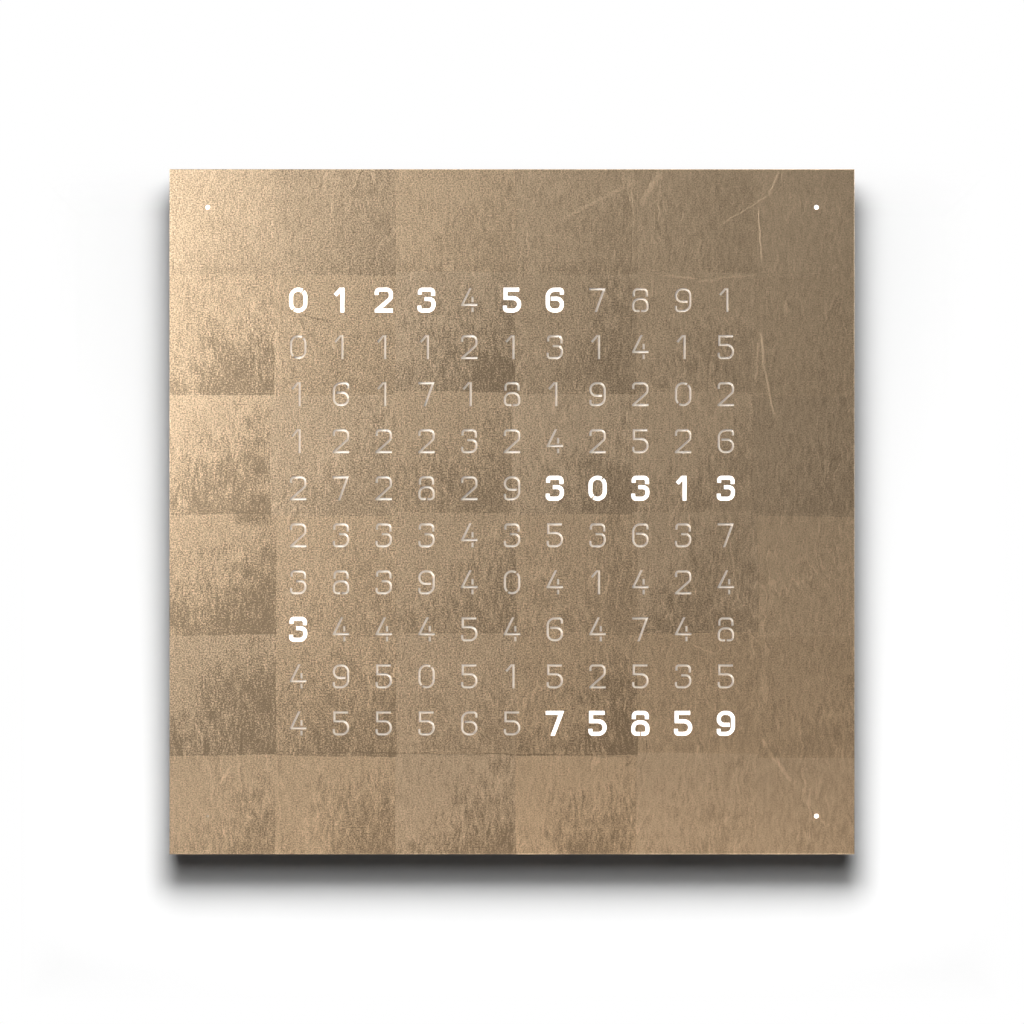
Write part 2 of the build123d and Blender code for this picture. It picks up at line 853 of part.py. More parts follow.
for hanger_name, hanger_x in hanger_places.items():
    with BuildPart() as hanger:
        with BuildSketch(at_depth(0)):
            with Locations((hanger_x, hanger_z)):
                Rectangle(hanger_width, hanger_height)
            chamfer(vertices(), hanger_corner_cut)
            with Locations((hanger_x, keyhole_entry_z)):
                Circle(keyhole_entry_radius, mode=Mode.SUBTRACT)
            with Locations((hanger_x, (keyhole_entry_z + keyhole_slot_z) / 2)):
                SlotCenterToCenter(
                    keyhole_slot_rise, keyhole_slot_width, rotation=90, mode=Mode.SUBTRACT
                )
        extrude(amount=hanger_thickness)
        with Locations(Plane(origin=(hanger_x, 0, hanger_z), x_dir=(1, 0, 0), z_dir=(0, 1, 0))):
            with GridLocations(hanger_screw_spacing, 0, 2, 1):
                Cone(
                    hanger_hole_radius,
                    hanger_countersink_radius,
                    hanger_thickness,
                    align=(Align.CENTER, Align.CENTER, Align.MAX),
                    mode=Mode.SUBTRACT,
                )
    finish(hanger, hanger_name)
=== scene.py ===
"""Dresses the frame of a square wall clock: a leafed steel cover with cut numerals, an opal sheet
with light cells behind it, a lacquered tray on two keyhole plates, and the wall it hangs on."""
from __future__ import annotations

import cmath
import json
import logging
import math
from collections.abc import Callable, Iterator
from contextlib import contextmanager
from dataclasses import dataclass, field
from enum import Enum
from functools import partialmethod

import bmesh
import bpy
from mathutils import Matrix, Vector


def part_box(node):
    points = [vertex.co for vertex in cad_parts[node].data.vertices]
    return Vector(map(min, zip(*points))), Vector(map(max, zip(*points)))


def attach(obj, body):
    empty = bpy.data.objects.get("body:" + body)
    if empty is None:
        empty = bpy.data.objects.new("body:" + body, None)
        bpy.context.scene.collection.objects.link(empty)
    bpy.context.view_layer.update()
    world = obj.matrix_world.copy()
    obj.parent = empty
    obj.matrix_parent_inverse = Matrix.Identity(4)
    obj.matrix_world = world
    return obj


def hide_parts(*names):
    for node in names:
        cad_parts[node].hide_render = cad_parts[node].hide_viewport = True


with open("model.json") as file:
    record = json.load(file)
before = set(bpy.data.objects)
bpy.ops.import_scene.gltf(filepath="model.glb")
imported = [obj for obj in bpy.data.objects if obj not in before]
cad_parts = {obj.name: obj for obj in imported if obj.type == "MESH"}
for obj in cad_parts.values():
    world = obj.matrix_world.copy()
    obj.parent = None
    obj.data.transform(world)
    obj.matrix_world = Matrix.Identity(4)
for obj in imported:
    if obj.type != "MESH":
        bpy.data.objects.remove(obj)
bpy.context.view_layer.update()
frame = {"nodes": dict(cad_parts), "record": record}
SLOTS = {part["node"]: part["material_slot"] for part in frame["record"]["subparts"]}

MM = 0.001
DOUBLED = 1e-7  # vertices nearer than this, in metres, become one
Colour = tuple[float, float, float]
Place = tuple[float, float, float]
Look = dict[str, object]
Piece = bpy.types.Object
log = logging.getLogger("clock")


# Modelling with operators


def tune(item: object, **fields: object) -> object:
    """Sets fields of an item.

    Args:
        item: An object, a modifier, a node or the like.
        fields: Values by name.

    Returns:
        The same item.
    """
    for key, value in fields.items():
        setattr(item, key, value)
    return item


def take(piece: Piece | None = None) -> None:
    """Selects one object alone and makes it the active one.

    Args:
        piece: The object that the next operators work on, or nothing to leave none selected.
    """
    bpy.ops.object.select_all(action="DESELECT")
    if piece:
        piece.select_set(True)
        bpy.context.view_layer.objects.active = piece


@contextmanager
def editing(piece: Piece) -> Iterator[None]:
    """Holds a piece in edit mode.

    Args:
        piece: The mesh to edit.
    """
    take(piece)
    bpy.ops.object.mode_set(mode="EDIT")
    yield
    bpy.ops.object.mode_set(mode="OBJECT")


def pick(piece: Piece, kind: str, test: Callable[..., bool]) -> None:
    """Selects the vertices or faces that pass a test, in edit mode.

    Args:
        piece: The mesh in edit mode.
        kind: VERT or FACE.
        test: Takes an element and says whether it is selected.
    """
    bpy.ops.mesh.select_mode(type=kind)
    bpy.ops.mesh.select_all(action="DESELECT")
    mesh = bmesh.from_edit_mesh(piece.data)
    for part in {"VERT": mesh.verts, "FACE": mesh.faces}[kind]:
        if test(part):
            part.select_set(True)
    mesh.select_flush(True)
    bmesh.update_edit_mesh(piece.data)


def extrude(*shift: float) -> None:
    """Extrudes the selected faces by a shift along X, Y and Z."""
    bpy.ops.mesh.extrude_region_move(TRANSFORM_OT_translate={"value": shift})


def settle(name: str, **fields: object) -> Piece:
    """Names the active object and puts its place into its mesh.

    Args:
        name: Its name from now on.
        fields: Values of its own fields, such as its scale, which are set first.

    Returns:
        The object.
    """
    piece = tune(bpy.context.active_object, **fields)
    take(piece)
    bpy.ops.object.transform_apply(location=True, rotation=True, scale=True)
    piece.name = piece.data.name = name
    return piece


def apply_modifier(piece: Piece, kind: str, **fields: object) -> None:
    """Adds a modifier and applies it at once.

    Args:
        piece: The mesh that is changed.
        kind: The modifier's type.
        fields: Values of the modifier's own fields.
    """
    take(piece)
    modifier = tune(piece.modifiers.new(kind.lower(), kind), **fields)
    bpy.ops.object.modifier_apply(modifier=modifier.name)


def finish_mesh(piece: Piece, smooth_below: float = 0.0) -> Piece:
    """Merges doubled vertices, turns all faces outwards and shades the mesh.

    Args:
        piece: The mesh.
        smooth_below: Edges flatter than this, in degrees, look smooth. At 0 the mesh is flat.

    Returns:
        The same object.
    """
    with editing(piece):
        bpy.ops.mesh.select_all(action="SELECT")
        bpy.ops.mesh.remove_doubles(threshold=DOUBLED)
        bpy.ops.mesh.normals_make_consistent(inside=False)
    take(piece)
    if smooth_below:
        bpy.ops.object.shade_smooth_by_angle(angle=math.radians(smooth_below))
    else:
        bpy.ops.object.shade_flat()
    return piece


def copy_of(piece: Piece, name: str, shift: Place) -> Piece:
    """Copies a settled piece, with a mesh of its own, to another place.

    Args:
        piece: The piece that is repeated.
        name: The copy's name.
        shift: How far the copy lies from the piece, in metres.

    Returns:
        The copy.
    """
    take(piece)
    bpy.ops.object.duplicate(linked=False)
    bpy.ops.transform.translate(value=shift)
    return settle(name)


def add_object(name: str, data: bpy.types.ID, **fields: object) -> Piece:
    """Puts a lamp, a camera or a curve into the scene.

    Args:
        name: The object's name.
        data: What it holds.
        fields: Values of its own fields, such as its location.

    Returns:
        The object.
    """
    piece = tune(bpy.data.objects.new(name, data), **fields)
    bpy.context.scene.collection.objects.link(piece)
    return piece


def mount_piece(piece: Piece, body: str, slot: str, *stands_for: str) -> None:
    """Gives a new piece its finish, the body that it rides on and what it stands for.

    Args:
        piece: The new piece.
        body: The moving or still body that carries it.
        slot: The record's material slot, which names its finish.
        stands_for: Nodes that it replaces.
    """
    piece.data.materials.clear()
    piece.data.materials.append(Finishes[slot].value.material())
    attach(piece, body)
    if stands_for:
        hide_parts(*stands_for)
    log.info("%s: %d faces, rides on %s", piece.name, len(piece.data.polygons), body)


# Shader nodes


class Result:
    """What a node gives. Results on a sheet are added, multiplied and so on like numbers."""

    def __init__(self, sheet: Sheet, socket: bpy.types.NodeSocket) -> None:
        """Takes an output of a node on the sheet."""
        self.sheet, self.socket = sheet, socket

    def math(self, operation: str, *others: object) -> Result:
        """Calculates with this number and others."""
        return self.sheet.read("Math", self, *others, operation=operation)

    __add__ = __radd__ = partialmethod(math, "ADD")
    __mul__ = partialmethod(math, "MULTIPLY")
    __sub__ = partialmethod(math, "SUBTRACT")
    __truediv__ = partialmethod(math, "DIVIDE")
    __abs__ = partialmethod(math, "ABSOLUTE")

    def __rsub__(self, other: float) -> Result:
        """Takes this number away from another."""
        return self.sheet.read("Math", other, self, operation="SUBTRACT")

    def vector(self, operation: str, other: object = None) -> Result:
        """Calculates with this vector.

        Args:
            operation: The node's operation.
            other: Another vector, or a number for SCALE.

        Returns:
            A vector, or a number where the operation gives one.
        """
        node = self.sheet.node("VectorMath", operation=operation)
        self.sheet.feed(node.inputs[0], self)
        self.sheet.feed(node.inputs["Scale" if operation == "SCALE" else 1], other)
        number = operation in ("DISTANCE", "LENGTH", "DOT_PRODUCT")
        return Result(self.sheet, node.outputs["Value" if number else "Vector"])

    def axes(self) -> tuple[Result, ...]:
        """Splits a place into X, Y and Z, or a colour into its three parts."""
        node = self.sheet.read("SeparateXYZ", self).socket.node
        return tuple(Result(self.sheet, output) for output in node.outputs)

    def ease(self, low: object, high: object, start: float = 0.0, end: float = 1.0,
             kind: str = "SMOOTHSTEP") -> Result:
        """Maps this number from one span to another, and keeps it inside.

        Args:
            low: Where the first span starts.
            high: Where it ends.
            start: What low becomes.
            end: What high becomes.
            kind: SMOOTHSTEP for an eased change, or LINEAR for an even one.

        Returns:
            The mapped number.
        """
        return self.sheet.read("MapRange", self, low, high, start, end, interpolation_type=kind)

    ramp = partialmethod(ease, kind="LINEAR")

    def swing(self, reach: float) -> Result:
        """Turns noise into a change of up to a reach either way."""
        return self.ramp(0.2, 0.8, -reach, reach)


class Sheet:
    """A node tree that is being drawn up."""

    def __init__(self, tree: bpy.types.NodeTree) -> None:
        """Starts on a tree."""
        self.tree = tree

    @classmethod
    def bare(cls, owner: bpy.types.Material | bpy.types.World) -> Sheet:
        """Empties a node tree and starts on it.

        Args:
            owner: The material or world that has the tree.

        Returns:
            The sheet.
        """
        owner.use_nodes = True
        owner.node_tree.nodes.clear()
        return cls(owner.node_tree)

    def node(self, kind: str, **fields: object) -> bpy.types.Node:
        """Adds a node of a type, named without its prefix."""
        return tune(self.tree.nodes.new("ShaderNode" + kind), **fields)

    def feed(self, socket: bpy.types.NodeSocket, value: object) -> None:
        """Links a result to a socket, or sets the socket's own value.

        Args:
            socket: An input.
            value: A result, a number, a vector or a colour, or nothing to leave the input as it is.
        """
        if isinstance(value, Result):
            self.tree.links.new(value.socket, socket)
        elif isinstance(value, tuple):
            socket.default_value = (*value, 1.0)[:len(socket.default_value)]
        elif value is not None:
            socket.default_value = value

    def read(self, kind: str, *values: object, output: int | str = 0, **fields: object) -> Result:
        """Adds a node and feeds its first inputs.

        Args:
            kind: The node's type, without its prefix.
            values: What goes into its inputs, in their order.
            output: Which of its outputs comes back.
            fields: Values of the node's own fields.

        Returns:
            The result.
        """
        node = self.node(kind, **fields)
        for socket, value in zip(node.inputs, values):
            self.feed(socket, value)
        return Result(self, node.outputs[output])

    def millimetres(self, stretch: Place = (1.0, 1.0, 1.0)) -> Result:
        """Gives the place on the piece in millimetres, packed along X, Y and Z by a stretch."""
        place = self.read("TexCoord", output="Object")
        return place.vector("MULTIPLY", tuple(factor / MM for factor in stretch))

    def spot(self, x: object, y: object) -> Result:
        """Joins two numbers into a place."""
        return self.read("CombineXYZ", x, y)

    def noise(self, place: Result, scale: float, detail: float = 2.0, roughness: float = 0.5,
              distortion: float = 0.0, coloured: bool = False) -> Result:
        """Adds soft noise.

        Args:
            place: Where it is read, in millimetres.
            scale: Features per millimetre.
            detail: How many finer layers it has.
            roughness: How strong the finer layers are.
            distortion: How much it is curled.
            coloured: Whether three values come back as a colour.

        Returns:
            The noise, about 0.5.
        """
        node = self.node("TexNoise")
        for name, value in (("Vector", place), ("Scale", scale), ("Detail", detail),
                            ("Roughness", roughness), ("Distortion", distortion)):
            self.feed(node.inputs[name], value)
        return Result(self, node.outputs["Color" if coloured else "Fac"])

    def mix(self, share: object, first: object, second: object, mode: str = "MIX") -> Result:
        """Mixes two colours.

        Args:
            share: How much of the second shows.
            first: A colour or result.
            second: A colour or result.
            mode: How they are mixed.

        Returns:
            The mixed colour.
        """
        node = self.node("Mix", data_type="RGBA", blend_type=mode)
        for number, value in ((0, share), (6, first), (7, second)):
            self.feed(node.inputs[number], value)
        return Result(self, node.outputs[2])

    def bump(self, height: Result, depth: float) -> Result:
        """Turns a height into a normal.

        Args:
            height: The height, mostly between 0 and 1.
            depth: What 1 stands for, in millimetres.

        Returns:
            The normal.
        """
        node = self.node("Bump")
        self.feed(node.inputs["Height"], height)
        self.feed(node.inputs["Distance"], depth * MM)
        return Result(self, node.outputs["Normal"])

    def group(self, draw: Callable[..., dict[str, Result]], **values: object) -> dict[str, Result]:
        """Places a node group, which is drawn once and shared by all that use it.

        Args:
            draw: Draws the group on a sheet of its own from its inputs, and returns its results.
            values: What goes into its inputs, by name.

        Returns:
            The group's results, by name.
        """
        tree = bpy.data.node_groups.get(draw.__name__)
        if not tree:
            tree = bpy.data.node_groups.new(draw.__name__, "ShaderNodeTree")
            for label, value in values.items():
                kind = "NodeSocketFloat" if isinstance(value, float) else "NodeSocketVector"
                tree.interface.new_socket(label, in_out="INPUT", socket_type=kind)
            inner, source = Sheet(tree), tree.nodes.new("NodeGroupInput")
            results = draw(inner, *(Result(inner, source.outputs[label]) for label in values))
            for label in results:
                tree.interface.new_socket(label, in_out="OUTPUT", socket_type="NodeSocketFloat")
            drain = tree.nodes.new("NodeGroupOutput")
            for label, value in results.items():
                inner.feed(drain.inputs[label], value)
        node = self.node("Group", node_tree=tree)
        for label, value in values.items():
            self.feed(node.inputs[label], value)
        return {output.name: Result(self, output) for output in node.outputs}


def leaf_crease(sheet: Sheet, place: Result, start: Result, end: Result,
                width: Result) -> dict[str, Result]:
    """Draws a soft line between two places, faint at its ends.

    Args:
        sheet: The group's sheet.
        place: The place on the leaf.
        start: Where the line starts.
        end: Where it ends.
        width: How far from its middle it reaches.

    Returns:
        How strongly the line shows.
    """
    run, away = end.vector("SUBTRACT", start), place.vector("SUBTRACT", start)
    along = sheet.read("Math", away.vector("DOT_PRODUCT", run), run.vector("DOT_PRODUCT", run),
                       operation="DIVIDE", use_clamp=True)
    line = away.vector("DISTANCE", run.vector("SCALE", along)).ease(0.0, width, 1.0, 0.0)
    return {"line": line * along.math("PINGPONG", 0.5).ease(0.0, 0.12, 0.35, 1.0)}


def surface_grain(sheet: Sheet, place: Result) -> dict[str, Result]:
    """Draws the fine grain of moulded and sprayed surfaces, with faint handling marks.

    Args:
        sheet: The group's sheet.
        place: The place on the surface.

    Returns:
        The grain's height, the marks, and how dark the surface is.
    """
    fine = sheet.noise(place, 3.2, 2.0, 0.6)
    peel = sheet.noise(place, 0.55, 1.0, 0.4)
    return {
        "height": fine * 0.35 + peel * 0.65,
        "marks": sheet.noise(place, 0.035, 4.0, 0.6, 0.8).ease(0.42, 0.75),
        "tone": (fine + peel).ramp(0.6, 1.4, 0.93, 1.05),
    }


def metal_brushing(sheet: Sheet, place: Result, brushed: Result) -> dict[str, Result]:
    """Draws fine parallel scratches and a few stains on bare metal."""
    return {"lines": sheet.noise(brushed, 1.0, 3.0, 0.7),
            "stains": sheet.noise(place, 0.09, 4.0, 0.65, 0.6).ease(0.45, 0.72)}


# Finishes


def darker(colour: Colour, share: float) -> Colour:
    """Gives a share of a colour."""
    return tuple(share * part for part in colour)


@dataclass(frozen=True)
class Finish:
    """What a surface is made of: a name, a colour and how rough it is."""

    name: str
    colour: Colour
    roughness: float = 0.5

    def draw(self, sheet: Sheet) -> Look:
        """Draws the finish on its material's sheet.

        Args:
            sheet: The material's node tree.

        Returns:
            What goes into the shader's inputs, by name.
        """
        raise NotImplementedError

    def toned(self, sheet: Sheet, grain: dict[str, Result]) -> Result:
        """Gives the colour with the grain in it."""
        return sheet.mix(1.0, self.colour, grain["tone"], "MULTIPLY")

    def material(self) -> bpy.types.Material:
        """Makes the material once, and hands the same one out afterwards.

        Returns:
            The material.
        """
        if self.name not in bpy.data.materials:
            material = tune(bpy.data.materials.new(self.name), use_nodes=True)
            sheet = Sheet(material.node_tree)
            plain = {"Base Color": self.colour, "Roughness": self.roughness}
            for look in (plain, self.draw(sheet)):
                for label, value in look.items():
                    sheet.feed(sheet.tree.nodes["Principled BSDF"].inputs[label], value)
        return bpy.data.materials[self.name]


@dataclass(frozen=True)
class Moulded(Finish):
    """Moulded plastic or sprayed lacquer."""

    depth: float = 0.02
    marks: float = 0.1
    coat: float = 0.0

    def draw(self, sheet: Sheet) -> Look:
        """Draws fine grain, faint marks and uneven gloss.

        Args:
            sheet: The material's node tree.

        Returns:
            The shader's inputs.
        """
        grain = sheet.group(surface_grain, place=sheet.millimetres())
        worn = tuple(min(1.0, 0.7 * part + 0.14) for part in self.colour)
        return {
            "Base Color": sheet.mix(grain["marks"] * self.marks, self.toned(sheet, grain), worn),
            "Roughness": grain["marks"].ease(0.0, 1.0, self.roughness, self.roughness + 0.12),
            "Normal": sheet.bump(grain["height"], self.depth),
            "Coat Weight": self.coat,
            "Coat Roughness": 0.18,
        }


@dataclass(frozen=True)
class BareMetal(Finish):
    """Rolled, plated or drawn metal."""

    stain: Colour = (0.3, 0.3, 0.3)
    brushing: Place = (0.15, 4.0, 4.0)
    depth: float = 0.004

    def draw(self, sheet: Sheet) -> Look:
        """Draws parallel scratches and stains.

        Args:
            sheet: The material's node tree.

        Returns:
            The shader's inputs.
        """
        metal = sheet.group(metal_brushing, place=sheet.millimetres(),
                            brushed=sheet.millimetres(self.brushing))
        lines, stains = metal["lines"], metal["stains"]
        bright = sheet.mix(lines.ease(0.3, 0.7, 0.0, 0.35), self.colour, darker(self.colour, 0.82))
        return {
            "Base Color": sheet.mix(stains * 0.35, bright, self.stain),
            "Roughness": (lines.ease(0.2, 0.8, self.roughness - 0.06, self.roughness + 0.08)
                          + stains * 0.1),
            "Normal": sheet.bump(lines, self.depth),
            "Metallic": 1.0,
        }


@dataclass(frozen=True)
class PrintedBoard(Finish):
    """A circuit board: solder mask over copper tracks."""

    track: Colour = (0.6, 0.6, 0.55)
    pitch: float = 2.54

    def draw(self, sheet: Sheet) -> Look:
        """Draws tracks as broken parallel runs under the mask.

        Args:
            sheet: The material's node tree.

        Returns:
            The shader's inputs.
        """
        place = sheet.millimetres()
        x, _, z = place.axes()
        lane = z / self.pitch
        broken = sheet.noise(sheet.spot(x * 0.08, lane.math("FLOOR")), 1.0, 0.0)
        run = lane.math("PINGPONG", 0.5).ease(0.24, 0.28) * broken.ease(0.47, 0.49)
        grain = sheet.group(surface_grain, place=place)
        masked = sheet.mix(run * 0.4, self.colour, self.track)
        return {
            "Base Color": sheet.mix(1.0, masked, grain["tone"], "MULTIPLY"),
            "Roughness": run.ease(0.0, 1.0, self.roughness, self.roughness - 0.1),
            "Normal": sheet.bump(run + grain["height"] * 0.3, 0.035),
        }


@dataclass(frozen=True)
class RibbedLead(Finish):
    """Insulation of a flat cable, with a groove between its strands."""

    strand: float = 1.27

    def draw(self, sheet: Sheet) -> Look:
        """Draws the strands side by side.

        Args:
            sheet: The material's node tree.

        Returns:
            The shader's inputs.
        """
        place = sheet.millimetres()
        groove = (place.axes()[0] / self.strand).math("PINGPONG", 0.5).ease(0.0, 0.2)
        grain = sheet.group(surface_grain, place=place)
        # Painted shade: the colour is darker in the groove between two strands.
        return {
            "Base Color": sheet.mix(groove, darker(self.colour, 0.45), self.toned(sheet, grain)),
            "Normal": sheet.bump(groove, 0.2),
        }


@dataclass(frozen=True)
class ClearPlastic(Finish):
    """Clear acrylic with faint waviness."""

    def draw(self, sheet: Sheet) -> Look:
        """Draws the waviness of its polished ends.

        Args:
            sheet: The material's node tree.

        Returns:
            The shader's inputs.
        """
        place = sheet.millimetres()
        return {
            "Roughness": sheet.noise(place, 0.8, 3.0).ease(0.3, 0.8, self.roughness,
                                                           self.roughness + 0.1),
            "Normal": sheet.bump(sheet.noise(place, 0.4, 1.0), 0.01),
            "Transmission Weight": 0.9,
            "IOR": 1.49,
        }


@dataclass(frozen=True)
class CellGrid:
    """The grid of light cells, and which of them are on. Sizes are in millimetres."""

    columns: int = 11
    rows: int = 10
    column_pitch: float = 28.1
    row_pitch: float = 30.9
    dot_offset: float = 200.0
    lit_runs: tuple[tuple[int, int, int], ...] = (
        (0, 0, 3), (0, 5, 6), (4, 6, 10), (7, 0, 0), (9, 6, 10))
    lit_dots: tuple[complex, ...] = (-1 + 1j, 1 + 1j, 1 - 1j)

    def centre(self, row: int, column: int) -> complex:
        """Gives the centre of a cell, counted from the upper left, as X and Z in one number."""
        return complex((column - (self.columns - 1) / 2) * self.column_pitch,
                       ((self.rows - 1) / 2 - row) * self.row_pitch)

    def is_lit(self, row: int, column: int) -> bool:
        """Tells whether a cell is on."""
        return any(row == line and first <= column <= last for line, first, last in self.lit_runs)


@dataclass(frozen=True)
class LightPackageFinish(Finish):
    """A light package: white case with a yellow phosphor window."""

    grid: CellGrid = CellGrid()
    window_radius: float = 1.7
    blur: float = 0.1
    phosphor: Colour = (0.95, 0.78, 0.2)

    def draw(self, sheet: Sheet) -> Look:
        """Draws the round window in the middle of each package.

        Args:
            sheet: The material's node tree.

        Returns:
            The shader's inputs.
        """
        x, _, z = sheet.millimetres().axes()
        half_x, pitch_z = self.grid.column_pitch / 2, self.grid.row_pitch
        off = sheet.spot(x.math("WRAP", -half_x, half_x),
                         z.math("WRAP", 0.0, pitch_z) - pitch_z / 2)
        window = off.vector("LENGTH").ease(self.window_radius - self.blur,
                                           self.window_radius + self.blur, 1.0, 0.0)
        return {
            "Base Color": sheet.mix(window, self.colour, self.phosphor),
            "Roughness": window.ease(0.0, 1.0, self.roughness, 0.25),
            "Normal": sheet.bump(window, 0.1),
        }


@dataclass(frozen=True)
class Wound(Finish):
    """Enamelled wire laid turn beside turn."""

    wire: float = 0.35

    def draw(self, sheet: Sheet) -> Look:
        """Draws the turns across the piece.

        Args:
            sheet: The material's node tree.

        Returns:
            The shader's inputs.
        """
        turn = (sheet.millimetres().axes()[0] / self.wire).math("PINGPONG", 0.5)
        # Painted shade: the colour is darker where two turns meet.
        return {
            "Base Color": sheet.mix(turn.ease(0.0, 0.3), darker(self.colour, 0.3), self.colour),
            "Normal": sheet.bump(turn.ease(0.0, 0.5), 0.15),
            "Metallic": 0.8,
        }


@dataclass(frozen=True)
class OpalSheet(Finish):
    """Opal acrylic that glows where a cell or a dot behind it is on, and elsewhere has a faint
    painted glow. Sizes are in millimetres.
    """

    grid: CellGrid = CellGrid()
    unlit_glow: Colour = (0.22, 0.205, 0.20)
    lit_glow: Colour = (1.25, 1.25, 1.25)
    blank_glow: Colour = (0.10, 0.09, 0.08)
    wall_shadow: float = 4.5
    inner_blur: float = 1.2
    outer_blur: float = 0.4
    dot_inner: float = 3.0
    dot_outer: float = 6.0

    def draw(self, sheet: Sheet) -> Look:
        """Draws the cells, their walls as a faint painted shadow on the painted glow of the cells
        that are off, and those that are on.

        Args:
            sheet: The material's node tree.

        Returns:
            The shader's inputs.
        """
        place = sheet.millimetres()
        x, _, z = place.axes()
        grid = self.grid
        pitch = complex(grid.column_pitch, grid.row_pitch)
        half_x, half_z = grid.columns * pitch.real / 2, grid.rows * pitch.imag / 2
        wall_x = (x + half_x).math("PINGPONG", pitch.real / 2)
        wall_z = (z + half_z).math("PINGPONG", pitch.imag / 2)
        # Painted shade: the glow of the cells that are off darkens near the grid's walls.
        cell = wall_x.math("MINIMUM", wall_z).ease(0.0, self.wall_shadow, 0.55, 1.0)
        inside = abs(x).math("LESS_THAN", half_x) * abs(z).math("LESS_THAN", half_z)
        lit = 0.0
        for row, first, last in grid.lit_runs:
            left, right = grid.centre(row, first), grid.centre(row, last)
            lit += self.block(x, z, (left + right) / 2, (right - left + pitch) / 2)
        for dot in grid.lit_dots:
            centre = (dot.real * grid.dot_offset, dot.imag * grid.dot_offset, 0.0)
            away = sheet.spot(x, z).vector("DISTANCE", centre)
            lit += away.ease(self.dot_inner, self.dot_outer, 1.0, 0.0)
        # Painted glow: the cells that are off, and the sheet around the grid, glow faintly though
        # nothing behind them is on.
        blank = sheet.mix(inside, self.blank_glow, self.unlit_glow)
        grain = sheet.group(surface_grain, place=place)
        return {
            "Base Color": self.toned(sheet, grain),
            "Roughness": grain["marks"].ease(0.0, 1.0, self.roughness, self.roughness + 0.1),
            "Normal": sheet.bump(grain["height"], 0.01),
            "Emission Color": sheet.mix(lit.math("MINIMUM", 1.0),
                                        sheet.mix(1.0, blank, cell, "MULTIPLY"), self.lit_glow),
            "Emission Strength": 1.0,
        }

    def block(self, x: Result, z: Result, centre: complex, half: complex) -> Result:
        """Draws a lit block, soft where it meets its walls.

        Args:
            x: Place along X.
            z: Place along Z.
            centre: The block's centre.
            half: Half its width and height.

        Returns:
            1 inside the block and 0 outside it.
        """
        inner, outer = half - self.inner_blur * (1 + 1j), half + self.outer_blur * (1 + 1j)
        return (abs(x - centre.real).ease(inner.real, outer.real, 1.0, 0.0)
                * abs(z - centre.imag).ease(inner.imag, outer.imag, 1.0, 0.0))


@dataclass(frozen=True)
class Crease:
    """A crease in the leaf between two places, in millimetres, and how strong it is: raised in the
    bump, and in the colour a painted highlight where the strength is above 0 and darker where it is
    below 0.
    """

    start: tuple[float, float]
    end: tuple[float, float]
    width: float
    strength: float


@dataclass(frozen=True)
class LeafSpot:
    """The leaf that a place lies on, where it lies on that leaf, and the leaf's own chances."""

    column: Result
    row: Result
    across: Result
    up: Result
    tone: Result
    rub: Result
    warm: Result


